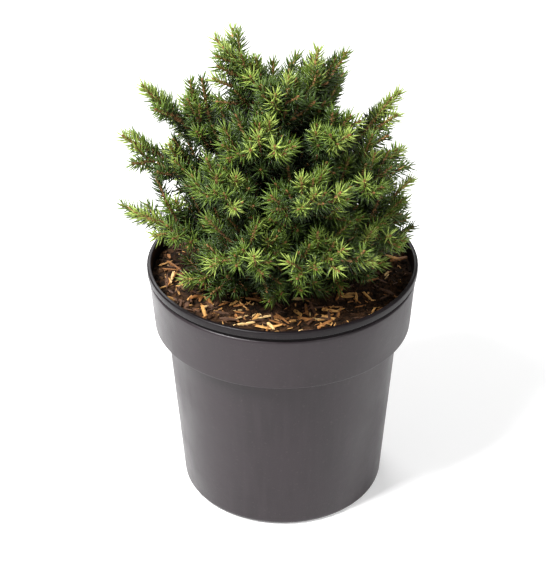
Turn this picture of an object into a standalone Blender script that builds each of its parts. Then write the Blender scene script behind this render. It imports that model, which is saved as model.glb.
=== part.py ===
"""Potted dwarf Alberta spruce: a nursery pot, peat with wood chips, a trunk, boughs and needle sprays."""
import math
import random

import bmesh
import bpy
import numpy as np
from mathutils import Vector

COLLECTION = "potted_alberta_spruce"
GAP = 0.0003

# Pot: a moulded nursery pot with a rolled lip, a wide collar, a stepped wall and a flat foot
POT_HEIGHT = 0.181
LIP_RADIUS = 0.095
LIP_WIDTH = 0.0030
LIP_DEPTH = 0.0036
LIP_ROUND = 0.0012
GROOVE_DEPTH = 0.0020
GROOVE_HEIGHT = 0.0022
COLLAR_TOP_RADIUS = 0.0938
COLLAR_LOW_RADIUS = 0.0912
COLLAR_LOW_HEIGHT = 0.1336
COLLAR_ROUND = 0.0010
BODY_TOP_RADIUS = 0.0828
BODY_FOOT_RADIUS = 0.0739
FOOT_ROUND = 0.0046
FOOT_RING_WIDTH = 0.0080
FOOT_RECESS = 0.0025
PAD_RADIUS = 0.020
WALL = 0.0018
FLOOR_THICKNESS = 0.0022
POT_STEPS = 36
DRAIN_HOLES = 6
DRAIN_HOLE_RADIUS = 0.0045
DRAIN_CIRCLE_RADIUS = 0.048
DRAIN_HOLE_SIDES = 10

# Soil: peat filled to a little below the lip, strewn with chips of wood
SOIL_HEIGHT = 0.1700
SOIL_RINGS = (0.40, 0.60, 0.80)
SOIL_BUMP = 0.0010
FOOT_FLAT_RADIUS = 0.016
CHIP_COUNT = 24
CHIP_LENGTHS = (0.009, 0.019)
CHIP_WIDTHS = (0.003, 0.006)
CHIP_THICKNESS = 0.0022
CHIP_LIFT = 0.28
CHIP_TILT = 8.0
CHIP_INNER_RADIUS = 0.030
CHIP_OUTER_RADIUS = 0.078

# Trunk: a flared foot, a slow taper and a lean towards the leader
TRUNK_FOOT = SOIL_HEIGHT + GAP
TRUNK_TOP = 0.296
TRUNK_LEAN = Vector((-0.014, 0.002))
TRUNK_BEND = 1.6
TRUNK_RADIUS = 0.0056
TRUNK_TIP_RADIUS = 0.0017
FLARE_RADIUS = 0.0042
FLARE_HEIGHT = 0.0075
TRUNK_RINGS = 12
TRUNK_RING_CROWDING = 1.5
TRUNK_SIDES = 12

# Crown tiers: name, boughs, first azimuth, degrees between boughs, height on the trunk,
# radius of the tips, height of the tips, side sprays on each mass, length of a side spray
TIERS = (
    ("skirt", 6, 212, 60, 0.181, 0.062, 0.192, 4, 0.027),
    ("waist", 7, 195, 360 / 7, 0.196, 0.078, 0.227, 5, 0.032),
    ("shoulder", 7, 184, 360 / 7, 0.218, 0.076, 0.269, 5, 0.032),
    ("crest", 5, 180, 72, 0.244, 0.053, 0.303, 5, 0.030),
    ("top", 3, 278, 95, 0.268, 0.029, 0.326, 3, 0.025),
)
# Limbs that stand out of the crown: radius and height of the tip
LONG_ARMS = {
    ("waist", 1): (0.103, 0.236),
    ("shoulder", 1): (0.100, 0.277),
    ("shoulder", 5): (0.082, 0.276),
    ("crest", 1): (0.086, 0.309),
    ("top", 2): (0.036, 0.328),
    ("top", 3): (0.026, 0.318),
}
LEADER_TIP = Vector((-0.033, 0.000, 0.342))
LEADER_SPRAYS = 4
LEADER_SPRAY_LENGTH = 0.022
AZIMUTH_JITTER = 5.0
REACH_JITTER = 0.04
HEIGHT_JITTER = 0.004

# Boughs: each leaves the trunk nearly level, curves up and ends where its mass begins
BOUGH_SHARE = 0.36
BOUGH_CONTROL = 0.55
BOUGH_RISE = 0.30
BOUGH_RADIUS = 0.0019
BOUGH_TIP_RADIUS = 0.0013
BOUGH_RINGS = 4
BOUGH_SIDES = 6
BOUGH_STAGGER = 0.003
LEADER_CONTROL = 0.4

# Sprays: a slim four-sided core with a tooth of needles standing out of each of its faces
CORE_RADIUS = 0.0015
CORE_TIP_RADIUS = 0.0009
CORE_PITCH = 0.0088
NEEDLE_SWAY = 24.0
NEEDLE_LENGTH = 0.0145
NEEDLE_OPEN_BASE = 66.0
NEEDLE_OPEN_TIP = 36.0
NEEDLE_JITTER = 0.16
SHORTEST_NEEDLE = 0.0030
NEEDLE_START = 0.0012
END_NEEDLE_SHARE = 0.5
SIDE_LENGTH_JITTER = 0.14
SIDE_FROM = 0.08
SIDE_TO = 0.66
SIDE_OPEN = 52.0
SIDE_OPEN_JITTER = 0.12
SIDE_TURN_JITTER = 14
SIDE_RADIUS_SHARE = 0.8
SIDE_UPTURN = 0.08
SIDE_SHORTENING = 0.06
UPWARD_PULL = Vector((0.0, 0.0, 0.6))
SIDE_TURNS = (18, 162, 88, -12, 192)
SIDE_TRIES = (0, 40, -40, 80, -80)
SHORTEST_SPRAY = 0.013
SIDE_SKIP = 0.0057
LONGER_BY = 0.002
PROBE_STEPS = 8
LENGTH_STEPS = 24
CELL_MARGIN = 0.0005
CORE_MARGIN = 0.0030
LIMB_MARGIN = 0.0007
LIP_MARGIN = 0.0020
LIP_INNER_REACH = 0.084
PEAT_MARGIN = 0.0050
SPRAY_MARGIN = 0.0008
ROOT_CLEAR = 0.0022
BARE_ROOT = 0.0036
SEED = 20

# Finishes: colour and roughness
POT_FINISH = ((0.050, 0.048, 0.052), 0.48)
SOIL_FINISH = ((0.040, 0.024, 0.014), 0.95)
BARK_FINISH = ((0.200, 0.105, 0.055), 0.85)
NEEDLE_FINISH = ((0.075, 0.190, 0.035), 0.60)


def clear_scene():
    """Remove every object that the file starts with."""
    for item in list(bpy.data.objects):
        bpy.data.objects.remove(item, do_unlink=True)


def new_collection(name):
    """A collection linked to the scene."""
    group = bpy.data.collections.new(name)
    bpy.context.scene.collection.children.link(group)
    return group


def finish(name, colour, roughness):
    """A Principled material."""
    material = bpy.data.materials.new(name)
    material.use_nodes = True
    shader = material.node_tree.nodes["Principled BSDF"]
    shader.inputs["Base Color"].default_value = (*colour, 1.0)
    shader.inputs["Roughness"].default_value = roughness
    shader.inputs["Metallic"].default_value = 0.0
    material.diffuse_color = (*colour, 1.0)
    return material


def solid(name, mesh, group, look):
    """A named object with its own material."""
    item = bpy.data.objects.new(name, mesh)
    group.objects.link(item)
    mesh.materials.clear()
    mesh.materials.append(finish(name, *look))
    return item


def evaluated_mesh(item):
    """A plain mesh of an object with its modifiers or its bevel, welded."""
    graph = bpy.context.evaluated_depsgraph_get()
    mesh = bpy.data.meshes.new_from_object(item.evaluated_get(graph))
    body = bmesh.new()
    body.from_mesh(mesh)
    bmesh.ops.remove_doubles(body, verts=body.verts, dist=1e-6)
    body.to_mesh(mesh)
    body.free()
    return mesh


def drop(item):
    """Remove a helper object."""
    bpy.data.objects.remove(item, do_unlink=True)


def turned(name, profile, group):
    """A profile of radius and height, turned about the Z axis."""
    mesh = bpy.data.meshes.new(name)
    edges = [(i, i + 1) for i in range(len(profile) - 1)]
    mesh.from_pydata([(radius, 0.0, height) for radius, height in profile], edges, [])
    item = bpy.data.objects.new(name, mesh)
    group.objects.link(item)
    screw = item.modifiers.new("turn", "SCREW")
    screw.axis = "Z"
    screw.steps = POT_STEPS
    screw.render_steps = POT_STEPS
    screw.use_merge_vertices = True
    screw.merge_threshold = 0.00001
    return item


def arc(centre, radius, start, end, steps):
    """Points on an arc in the profile's plane, angles in degrees from +X."""
    angles = [math.radians(start + (end - start) * i / steps) for i in range(steps + 1)]
    return [(centre[0] + radius * math.cos(a), centre[1] + radius * math.sin(a)) for a in angles]


def outer_profile():
    """The pot's outside, from the lip down to the middle of its underside."""
    under_lip = POT_HEIGHT - LIP_DEPTH
    groove_low = under_lip - GROOVE_HEIGHT
    lip = arc((LIP_RADIUS - LIP_ROUND, POT_HEIGHT - LIP_ROUND), LIP_ROUND, 90, 0, 2)
    groove = [(LIP_RADIUS, under_lip), (LIP_RADIUS - GROOVE_DEPTH, under_lip)]
    groove += [(LIP_RADIUS - GROOVE_DEPTH, groove_low)]
    collar = [(COLLAR_TOP_RADIUS, groove_low - COLLAR_ROUND)]
    collar += [(COLLAR_LOW_RADIUS, COLLAR_LOW_HEIGHT + COLLAR_ROUND)]
    collar += [(COLLAR_LOW_RADIUS - COLLAR_ROUND, COLLAR_LOW_HEIGHT)]
    body = [(BODY_TOP_RADIUS, COLLAR_LOW_HEIGHT)]
    foot = arc((BODY_FOOT_RADIUS - FOOT_ROUND, FOOT_ROUND), FOOT_ROUND, 0, -90, 3)
    ring = foot[-1][0] - FOOT_RING_WIDTH
    under = [(ring, 0.0), (ring - FOOT_RECESS, FOOT_RECESS)]
    under += [(PAD_RADIUS + FOOT_RECESS, FOOT_RECESS), (PAD_RADIUS, 0.0), (0.0, 0.0)]
    return lip + groove + collar + body + foot + under


def inner_profile(offset):
    """The pot's inside from the floor's middle up to below the lip, moved in by an offset."""
    floor = FOOT_RECESS + FLOOR_THICKNESS + offset
    ledge = COLLAR_LOW_HEIGHT + WALL + offset
    inset = WALL + offset
    points = [(0.0, floor), (BODY_FOOT_RADIUS - inset - FOOT_ROUND / 2, floor)]
    points += [(BODY_FOOT_RADIUS - inset, floor + FOOT_ROUND / 2)]
    points += [(BODY_TOP_RADIUS - inset, ledge), (COLLAR_LOW_RADIUS - inset, ledge)]
    return points


def build_pot(group, cutters):
    """The pot: one turned wall with drain holes through its floor."""
    lip_inside = (LIP_RADIUS - LIP_WIDTH, POT_HEIGHT - LIP_DEPTH)
    lip_edge = (LIP_RADIUS - LIP_WIDTH + LIP_ROUND / 2, POT_HEIGHT)
    profile = inner_profile(0.0) + [lip_inside, lip_edge] + outer_profile()
    blank = turned("pot_blank", profile, group)
    item = solid("pot", evaluated_mesh(blank), group, POT_FINISH)
    drop(blank)
    holes = bmesh.new()
    for i in range(DRAIN_HOLES):
        made = bmesh.ops.create_cone(holes, cap_ends=True, segments=DRAIN_HOLE_SIDES, depth=0.02,
                                     radius1=DRAIN_HOLE_RADIUS, radius2=DRAIN_HOLE_RADIUS)
        angle = math.tau * (i + 0.5) / DRAIN_HOLES
        place = (DRAIN_CIRCLE_RADIUS * math.cos(angle), DRAIN_CIRCLE_RADIUS * math.sin(angle), 0.0)
        bmesh.ops.translate(holes, verts=made["verts"], vec=place)
    mesh = bpy.data.meshes.new("drain_holes")
    holes.to_mesh(mesh)
    holes.free()
    cutter = bpy.data.objects.new("drain_holes", mesh)
    cutter.hide_render = True
    cutter.display_type = "WIRE"
    cutters.objects.link(cutter)
    cut = item.modifiers.new("drain holes", "BOOLEAN")
    cut.operation = "DIFFERENCE"
    cut.solver = "EXACT"
    cut.object = cutter
    item.data.shade_smooth()
    item.data.set_sharp_from_angle(angle=math.radians(35))
    return item


def soil_top(x, y):
    """Height of the peat, flat under the trunk's foot and level at the wall."""
    radius = math.hypot(x, y)
    wall = COLLAR_TOP_RADIUS - WALL
    fade = min(1.0, max(0.0, (radius - FOOT_FLAT_RADIUS) / FOOT_FLAT_RADIUS))
    fade *= min(1.0, max(0.0, (wall - radius) / FOOT_FLAT_RADIUS))
    wave = math.sin(x * 130 + 1.0) * math.cos(y * 110) + 0.6 * math.sin(x * 70 - y * 190)
    return SOIL_HEIGHT + SOIL_BUMP * fade * wave


def collar_inside(height):
    """Radius of the pot's inside at a height within the collar."""
    share = (height - COLLAR_LOW_HEIGHT) / (POT_HEIGHT - LIP_DEPTH - COLLAR_LOW_HEIGHT)
    inside_top = LIP_RADIUS - LIP_WIDTH
    return COLLAR_LOW_RADIUS - WALL + (inside_top - COLLAR_LOW_RADIUS + WALL) * share


def chip(rng, index):
    """One chip of wood: a tilted slip, half sunk in the peat."""
    share = (index + 0.5) / CHIP_COUNT
    span = CHIP_OUTER_RADIUS ** 2 - CHIP_INNER_RADIUS ** 2
    radius = math.sqrt(CHIP_INNER_RADIUS ** 2 + span * share)
    angle = index * math.pi * (3 - math.sqrt(5))
    x, y = radius * math.cos(angle), radius * math.sin(angle)
    item = bpy.data.objects.new("chip", bpy.data.meshes.new("chip"))
    body = bmesh.new()
    bmesh.ops.create_cube(body, size=1.0)
    size = (rng.uniform(*CHIP_LENGTHS), rng.uniform(*CHIP_WIDTHS), CHIP_THICKNESS)
    bmesh.ops.scale(body, verts=body.verts, vec=size)
    body.to_mesh(item.data)
    body.free()
    item.location = (x, y, soil_top(x, y) + CHIP_THICKNESS * CHIP_LIFT)
    tilts = [math.radians(rng.uniform(-CHIP_TILT, CHIP_TILT)) for _ in range(2)]
    item.rotation_euler = (*tilts, rng.uniform(0.0, math.pi))
    return item


def fuse(item, group, pieces):
    """Join pieces to an object by one union on a collection, and keep its one body."""
    for piece in pieces:
        group.objects.link(piece)
    union = item.modifiers.new("fuse", "BOOLEAN")
    union.operation = "UNION"
    union.solver = "EXACT"
    union.operand_type = "COLLECTION"
    union.collection = group
    mesh = evaluated_mesh(item)
    item.modifiers.remove(union)
    for piece in pieces:
        drop(piece)
    keep_largest_shell(mesh)
    item.data = mesh


def keep_largest_shell(mesh):
    """Drop loose scraps and the walls of sealed hollows."""
    body = bmesh.new()
    body.from_mesh(mesh)
    unseen = set(body.faces)
    shells = []
    while unseen:
        front = [unseen.pop()]
        shell = list(front)
        while front:
            near = [face for edge in front.pop().edges for face in edge.link_faces]
            fresh = {face for face in near if face in unseen}
            unseen -= fresh
            front += fresh
            shell += fresh
        shells.append(shell)
    shells.sort(key=len)
    loose = [face for shell in shells[:-1] for face in shell]
    bmesh.ops.delete(body, geom=loose, context="FACES")
    body.to_mesh(mesh)
    body.free()


def build_soil(group, cutters):
    """The peat: it fills the pot 0.3 mm clear of the wall, with chips fused to its top."""
    round_wall = math.cos(math.pi / POT_STEPS)
    wall = collar_inside(SOIL_HEIGHT) - GAP / round_wall
    profile = [(0.0, SOIL_HEIGHT), (FOOT_FLAT_RADIUS, SOIL_HEIGHT)]
    profile += [(wall * share, SOIL_HEIGHT) for share in SOIL_RINGS]
    profile += [(wall, SOIL_HEIGHT)]
    profile += list(reversed(inner_profile(GAP)))
    blank = turned("soil_blank", profile, group)
    mesh = evaluated_mesh(blank)
    drop(blank)
    for vertex in mesh.vertices:
        if abs(vertex.co.z - SOIL_HEIGHT) < 1e-6:
            vertex.co.z = soil_top(vertex.co.x, vertex.co.y)
    item = solid("soil", mesh, group, SOIL_FINISH)
    rng = random.Random(SEED)
    fuse(item, cutters, [chip(rng, i) for i in range(CHIP_COUNT)])
    return item


def trunk_point(height):
    """Centre of the trunk at a height."""
    share = (height - TRUNK_FOOT) / (TRUNK_TOP - TRUNK_FOOT)
    lean = TRUNK_LEAN * max(0.0, share) ** TRUNK_BEND
    return Vector((lean.x, lean.y, height))


def trunk_radius(height):
    """Radius of the trunk at a height, with the flare of its foot."""
    share = (height - TRUNK_FOOT) / (TRUNK_TOP - TRUNK_FOOT)
    flare = FLARE_RADIUS * math.exp(-(height - TRUNK_FOOT) / FLARE_HEIGHT)
    return TRUNK_RADIUS + (TRUNK_TIP_RADIUS - TRUNK_RADIUS) * share + flare


def tube(name, points, radii, sides):
    """A mesh along points with a radius at each, from a curve with a bevel and filled caps."""
    data = bpy.data.curves.new(name, "CURVE")
    data.dimensions = "3D"
    data.bevel_depth = 1.0
    data.bevel_resolution = (sides - 4) // 2
    data.use_fill_caps = True
    data.twist_mode = "MINIMUM"
    spline = data.splines.new("POLY")
    spline.points.add(len(points) - 1)
    for i, (place, radius) in enumerate(zip(points, radii)):
        spline.points[i].co = (*place, 1.0)
        spline.points[i].radius = radius
    item = bpy.data.objects.new(name, data)
    bpy.context.scene.collection.objects.link(item)
    mesh = evaluated_mesh(item)
    drop(item)
    return mesh


def build_trunk(group):
    """The trunk, from a flat cut on the peat to its tip below the leader."""
    shares = [(i / TRUNK_RINGS) ** TRUNK_RING_CROWDING for i in range(TRUNK_RINGS + 1)]
    heights = [TRUNK_FOOT + (TRUNK_TOP - TRUNK_FOOT) * share for share in shares]
    places = [trunk_point(height) for height in heights]
    mesh = tube("trunk", places, [trunk_radius(height) for height in heights], TRUNK_SIDES)
    for vertex in mesh.vertices:
        vertex.co.z = max(vertex.co.z, TRUNK_FOOT)
    item = solid("trunk", mesh, group, BARK_FINISH)
    item.data.shade_smooth()
    item.data.set_sharp_from_angle(angle=math.radians(50))
    return item


class Limb:
    """A bough and its mass, along one curve from the trunk to the tip of the crown."""

    def __init__(self, name, points, share, sprays, spray_length):
        self.name = name
        self.points = points
        self.share = share
        self.sprays = sprays
        self.spray_length = spray_length

    def at(self, share):
        """Point on the limb's curve."""
        root, control, tip = self.points
        rest = 1.0 - share
        return root * rest * rest + control * 2 * rest * share + tip * share * share

    def along(self, share):
        """Direction of the limb's curve."""
        root, control, tip = self.points
        return ((control - root) * (1.0 - share) + (tip - control) * share).normalized()

    def length(self):
        """Length of the limb's curve."""
        places = [self.at(i / LENGTH_STEPS) for i in range(LENGTH_STEPS + 1)]
        return sum((b - a).length for a, b in zip(places, places[1:]))

    def heart(self):
        """Middle of the mass, from which it divides the crown with its neighbours."""
        return self.at(0.5 + self.share / 2)


def crown_limbs():
    """Every limb of the crown, tier by tier, and the leader on the trunk's tip."""
    rng = random.Random(SEED)
    limbs = []
    for tier, count, first, step, leave, reach, height, sprays, spray_length in TIERS:
        for i in range(count):
            azimuth = math.radians(first + step * i + rng.uniform(-1, 1) * AZIMUTH_JITTER)
            tip_reach = reach * (1 + rng.uniform(-1, 1) * REACH_JITTER)
            tip_height = height + rng.uniform(-1, 1) * HEIGHT_JITTER
            tip_reach, tip_height = LONG_ARMS.get((tier, i + 1), (tip_reach, tip_height))
            start = leave + (i % 3 - 1) * BOUGH_STAGGER
            out = Vector((math.cos(azimuth), math.sin(azimuth), 0.0))
            centre = trunk_point(start)
            tip = out * tip_reach + Vector((0.0, 0.0, tip_height))
            aim = tip - centre
            level = Vector((aim.x, aim.y, 0.0))
            out = level.normalized()
            rise = (tip_height - start) * BOUGH_RISE
            control = centre + level * BOUGH_CONTROL + Vector((0.0, 0.0, rise))
            slope = math.atan2(rise, level.length * BOUGH_CONTROL)
            clear = trunk_radius(start) + GAP + BOUGH_RADIUS * math.sin(slope)
            points = (centre + out * clear, control, tip)
            limbs.append(Limb(f"{tier}_{i + 1}", points, BOUGH_SHARE, sprays, spray_length))
    top = trunk_point(TRUNK_TOP)
    lean = (top - trunk_point(TRUNK_TOP - 0.01)).normalized()
    root = top + lean * GAP
    middle = root + lean * (LEADER_TIP - root).length * LEADER_CONTROL
    limbs.append(Limb("leader", (root, middle, LEADER_TIP), 0.0, LEADER_SPRAYS, LEADER_SPRAY_LENGTH))
    return limbs


def bough_line(limb):
    """Points and radii of a bough."""
    shares = [limb.share * i / (BOUGH_RINGS - 1) for i in range(BOUGH_RINGS)]
    step = (BOUGH_TIP_RADIUS - BOUGH_RADIUS) / (BOUGH_RINGS - 1)
    return [limb.at(s) for s in shares], [BOUGH_RADIUS + step * i for i in range(BOUGH_RINGS)]


class Space:
    """The room that each mass may fill: nearer to its own heart than to another's,
    above the peat and the lip, and clear of the trunk and the boughs."""

    def __init__(self, limbs):
        self.hearts = np.array([limb.heart() for limb in limbs])
        starts, ends, widths = [], [], []
        heights = np.linspace(TRUNK_FOOT, TRUNK_TOP, TRUNK_RINGS)
        lines = [([trunk_point(h) for h in heights], [trunk_radius(h) for h in heights])]
        lines += [bough_line(limb) for limb in limbs if limb.share > 0]
        for points, radii in lines:
            starts += points[:-1]
            ends += points[1:]
            widths += radii[:-1]
        self.starts = np.array(starts)
        self.runs = np.array(ends) - self.starts
        self.widths = np.array(widths)

    def room(self, place, owner):
        """Distance from a place to the border of the owner's space."""
        place = np.array(place)
        others = np.delete(self.hearts, owner, axis=0)
        own = self.hearts[owner]
        away = ((others - place) ** 2).sum(1) - ((own - place) ** 2).sum()
        border = (away / (2 * np.linalg.norm(others - own, axis=1))).min()
        over_lip = math.hypot(place[0], place[1]) > LIP_INNER_REACH
        ground = POT_HEIGHT + LIP_MARGIN if over_lip else SOIL_HEIGHT + PEAT_MARGIN
        return min(border, place[2] - ground)

    def limb_room(self, place):
        """Distance from a place to the nearest limb's surface."""
        offset = np.array(place) - self.starts
        share = (offset * self.runs).sum(1) / (self.runs ** 2).sum(1)
        nearest = offset - self.runs * np.clip(share, 0.0, 1.0)[:, None]
        return (np.linalg.norm(nearest, axis=1) - self.widths).min()

    def free_length(self, start, direction, length, owner, margin, limb_margin, own=None, others=()):
        """How far along a direction the owner's space is free, up to a length, and nearer
        to the spray's own core than to another's."""
        for i in range(1, PROBE_STEPS + 1):
            place = start + direction * (length * i / PROBE_STEPS)
            blocked = self.room(place, owner) < margin or self.limb_room(place) < limb_margin
            if own and others and not blocked:
                near = min(line_distance(place, line) for line in others)
                blocked = near < line_distance(place, own) + SPRAY_MARGIN
            if blocked:
                return length * (i - 1) / PROBE_STEPS
        return length


def line_distance(place, line):
    """Distance from a place to a line of points."""
    nearest = math.inf
    for start, end in zip(line, line[1:]):
        run = end - start
        share = min(1.0, max(0.0, (place - start).dot(run) / run.length_squared))
        nearest = min(nearest, (place - start - run * share).length)
    return nearest


def spray_mesh(path, others, owner, space, rng, root_radius):
    """A slim core along a path, with a tooth of needles drawn out of each of its faces."""
    count = len(path) - 1
    radii = [root_radius + (CORE_TIP_RADIUS - root_radius) * i / count for i in range(count + 1)]
    mesh = tube("spray", path, radii, 4)
    body = bmesh.new()
    body.from_mesh(mesh)
    body.faces.ensure_lookup_table()
    centres = [(path[i] + path[i + 1]) / 2 for i in range(count)]
    plan = []
    for face in body.faces:
        middle = face.calc_center_median()
        nearest = min(range(count), key=lambda i: (centres[i] - middle).length)
        forward = (path[nearest + 1] - path[nearest]).normalized()
        out = face.normal.copy()
        corners = [corner.co for corner in face.verts] + [middle]
        crossed = any(line_distance(place, line) < ROOT_CLEAR for line in others for place in corners)
        if out.dot(forward) < -0.8 or crossed:
            continue
        if out.dot(forward) > 0.8:
            direction, length = forward, NEEDLE_LENGTH * END_NEEDLE_SHARE
        else:
            share = nearest / max(1, count - 1)
            open_angle = NEEDLE_OPEN_BASE + (NEEDLE_OPEN_TIP - NEEDLE_OPEN_BASE) * share
            lean = math.radians(open_angle * (1 + rng.uniform(-1, 1) * NEEDLE_JITTER))
            side = (out - forward * out.dot(forward)).normalized()
            sway = math.radians(NEEDLE_SWAY * (1 if nearest % 2 else -1))
            side = side * math.cos(sway) + forward.cross(side) * math.sin(sway)
            direction = side * math.sin(lean) + forward * math.cos(lean)
            length = NEEDLE_LENGTH * (1 + rng.uniform(-1, 1) * NEEDLE_JITTER)
        start = middle + direction * NEEDLE_START
        free = space.free_length(start, direction, length, owner, CELL_MARGIN, LIMB_MARGIN, path, others)
        if free >= SHORTEST_NEEDLE:
            plan.append((face, start + direction * free))
    for face, apex in plan:
        made = bmesh.ops.poke(body, faces=[face])
        made["verts"][0].co = apex
    body.to_mesh(mesh)
    body.free()
    return mesh


def side_path(limb, index, owner, space, rng):
    """Path of a side spray that springs from the mass's stem, or nothing where it has no room."""
    share = SIDE_FROM + (SIDE_TO - SIDE_FROM) * index / max(1, limb.sprays - 1)
    share = limb.share + (1.0 - limb.share) * share
    start = limb.at(share)
    forward = limb.along(share)
    across = forward.cross(Vector((0.0, 0.0, 1.0)))
    across = across.normalized() if across.length > 0.1 else Vector((1.0, 0.0, 0.0))
    over = across.cross(forward).normalized()
    lean = math.radians(SIDE_OPEN * (1 + rng.uniform(-1, 1) * SIDE_OPEN_JITTER))
    wanted = limb.spray_length * (1 + rng.uniform(-1, 1) * SIDE_LENGTH_JITTER)
    turn = SIDE_TURNS[index % len(SIDE_TURNS)] + rng.uniform(-1, 1) * SIDE_TURN_JITTER
    length = 0.0
    for more in SIDE_TRIES:
        angle = math.radians(turn + more)
        side = across * math.cos(angle) + over * math.sin(angle)
        aim = (forward * math.cos(lean) + side * math.sin(lean)).normalized()
        probe = start + aim * SIDE_SKIP
        free = space.free_length(probe, aim, wanted - SIDE_SKIP, owner, CORE_MARGIN,
                                 CORE_RADIUS + LIMB_MARGIN) + SIDE_SKIP
        if free > length + LONGER_BY:
            length, direction = free, aim
    if length < SHORTEST_SPRAY:
        return None
    bend = (forward + UPWARD_PULL).normalized() * length * SIDE_UPTURN
    count = max(2, round((length - BARE_ROOT) / CORE_PITCH))
    bare = BARE_ROOT / length
    path = []
    for part in [0.0] + [bare + (1 - bare) * i / count for i in range(count + 1)]:
        reach = length * part * (1 - SIDE_SHORTENING * part)
        path.append(start + direction * reach + bend * part * part)
    while len(path) > 2 and space.room(path[-1], owner) < CORE_MARGIN / 2:
        path.pop()
    return path


def build_bough(limb, group):
    """One tapering bough, from beside the trunk to its mass."""
    mesh = tube("bough_" + limb.name, *bough_line(limb), BOUGH_SIDES)
    item = solid("bough_" + limb.name, mesh, group, BARK_FINISH)
    item.data.shade_smooth()
    item.data.set_sharp_from_angle(angle=math.radians(50))
    return item


def build_mass(limb, owner, space, group, cutters):
    """One mass of foliage: a stem ending in a spray, with side sprays fused on."""
    rng = random.Random(SEED * 1000 + owner)
    first = limb.share + (GAP / limb.length() if limb.share else 0.0)
    run = limb.length() * (1.0 - first)
    count = round(run / CORE_PITCH)
    path = [limb.at(first + (1.0 - first) * i / count) for i in range(count + 1)]
    sides = [side_path(limb, index, owner, space, rng) for index in range(limb.sprays)]
    sides = [side for side in sides if side]
    mesh = spray_mesh(path, sides, owner, space, rng, CORE_RADIUS)
    item = solid("foliage_" + limb.name, mesh, group, NEEDLE_FINISH)
    pieces = []
    for side in sides:
        others = [path] + [other for other in sides if other is not side]
        mesh = spray_mesh(side, others, owner, space, rng, CORE_RADIUS * SIDE_RADIUS_SHARE)
        pieces.append(bpy.data.objects.new("spray", mesh))
    fuse(item, cutters, pieces)
    return item


def main():
    """Build every sub-part in the pot's own frame, standing on its underside."""
    clear_scene()
    group = new_collection(COLLECTION)
    cutters = new_collection("cutters")
    fused = new_collection("fused")
    build_pot(group, cutters)
    build_soil(group, fused)
    build_trunk(group)
    limbs = crown_limbs()
    space = Space(limbs)
    for owner, limb in enumerate(limbs):
        if limb.share > 0:
            build_bough(limb, group)
        build_mass(limb, owner, space, group, fused)
    bpy.data.collections.remove(fused)


main()
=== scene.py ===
"""Looks of a potted dwarf spruce: a nursery pot, peat with bark chips, trunk, boughs, twigs and needles."""
import math
import random

import bmesh
import bpy
import numpy as np
from bpy.props import FloatProperty, FloatVectorProperty, IntProperty, PointerProperty
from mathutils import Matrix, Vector, noise


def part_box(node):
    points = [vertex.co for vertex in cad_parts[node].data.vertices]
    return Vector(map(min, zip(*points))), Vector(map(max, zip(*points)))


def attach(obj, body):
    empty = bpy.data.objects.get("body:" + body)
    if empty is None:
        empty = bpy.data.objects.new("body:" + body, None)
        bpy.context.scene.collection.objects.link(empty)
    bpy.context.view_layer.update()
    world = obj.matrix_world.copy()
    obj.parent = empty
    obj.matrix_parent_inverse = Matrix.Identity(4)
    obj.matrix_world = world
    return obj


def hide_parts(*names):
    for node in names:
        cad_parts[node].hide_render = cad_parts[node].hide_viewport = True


bl_info = {
    "name": "Potted Spruce",
    "version": (1, 0, 0),
    "blender": (4, 5, 0),
    "location": "3D View > Sidebar > Spruce",
    "description": "Builds a potted dwarf spruce with its pot, peat, chips, bark, twigs and needles",
    "category": "Add Mesh",
}

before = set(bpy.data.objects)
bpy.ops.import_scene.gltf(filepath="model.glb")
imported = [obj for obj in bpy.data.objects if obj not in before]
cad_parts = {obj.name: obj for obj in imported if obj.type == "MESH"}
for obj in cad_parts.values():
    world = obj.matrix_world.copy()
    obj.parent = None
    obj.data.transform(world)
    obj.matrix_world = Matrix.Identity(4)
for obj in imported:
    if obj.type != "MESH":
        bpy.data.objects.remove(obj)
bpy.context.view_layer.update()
NODES = sorted(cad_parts)
POT_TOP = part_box("pot")[1].z
BODY = "root"
GAP = 0.0003
SEED = 20

# Pot outline, from the lip to the foot
LIP_RADIUS = 0.095
LIP_WIDTH = 0.0030
LIP_DEPTH = 0.0050
LIP_ROUND = 0.0012
GROOVE_DEPTH = 0.0020
GROOVE_HEIGHT = 0.0030
COLLAR_TOP_RADIUS = 0.0938
COLLAR_LOW_RADIUS = 0.0912
COLLAR_LOW_HEIGHT = 0.1336
COLLAR_ROUND = 0.0010
COLLAR_TOP_ROUND = 0.0018
BODY_TOP_RADIUS = 0.0828
BODY_FOOT_RADIUS = 0.0739
FOOT_ROUND = 0.0046
FOOT_RING_WIDTH = 0.0080
FOOT_RECESS = 0.0025
PAD_RADIUS = 0.020
FLOOR_THICKNESS = 0.0022
DRAIN_HOLES = 6
DRAIN_HOLE_RADIUS = 0.0045
DRAIN_CIRCLE_RADIUS = 0.048

# Peat
SOIL_HEIGHT = 0.1700
SOIL_BUMP = 0.0010
FOOT_FLAT_RADIUS = 0.016

# Trunk
TRUNK_FOOT = SOIL_HEIGHT + GAP
TRUNK_TOP = 0.296
TRUNK_LEAN = Vector((-0.014, 0.002))
TRUNK_BEND = 1.6
TRUNK_RADIUS = 0.0056
TRUNK_TIP_RADIUS = 0.0017
FLARE_RADIUS = 0.0042
FLARE_HEIGHT = 0.0075
TRUNK_RINGS = 12

# Crown tiers: name, boughs, first azimuth, degrees between boughs, height on the trunk,
# radius of the tips, height of the tips, side sprays on each mass, length of a side spray
TIERS = (
    ("skirt", 6, 212, 60, 0.181, 0.062, 0.192, 4, 0.027),
    ("waist", 7, 195, 360 / 7, 0.196, 0.078, 0.227, 5, 0.032),
    ("shoulder", 7, 184, 360 / 7, 0.218, 0.076, 0.269, 5, 0.032),
    ("crest", 5, 180, 72, 0.244, 0.053, 0.303, 5, 0.030),
    ("top", 3, 278, 95, 0.268, 0.029, 0.326, 3, 0.025),
)
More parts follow.
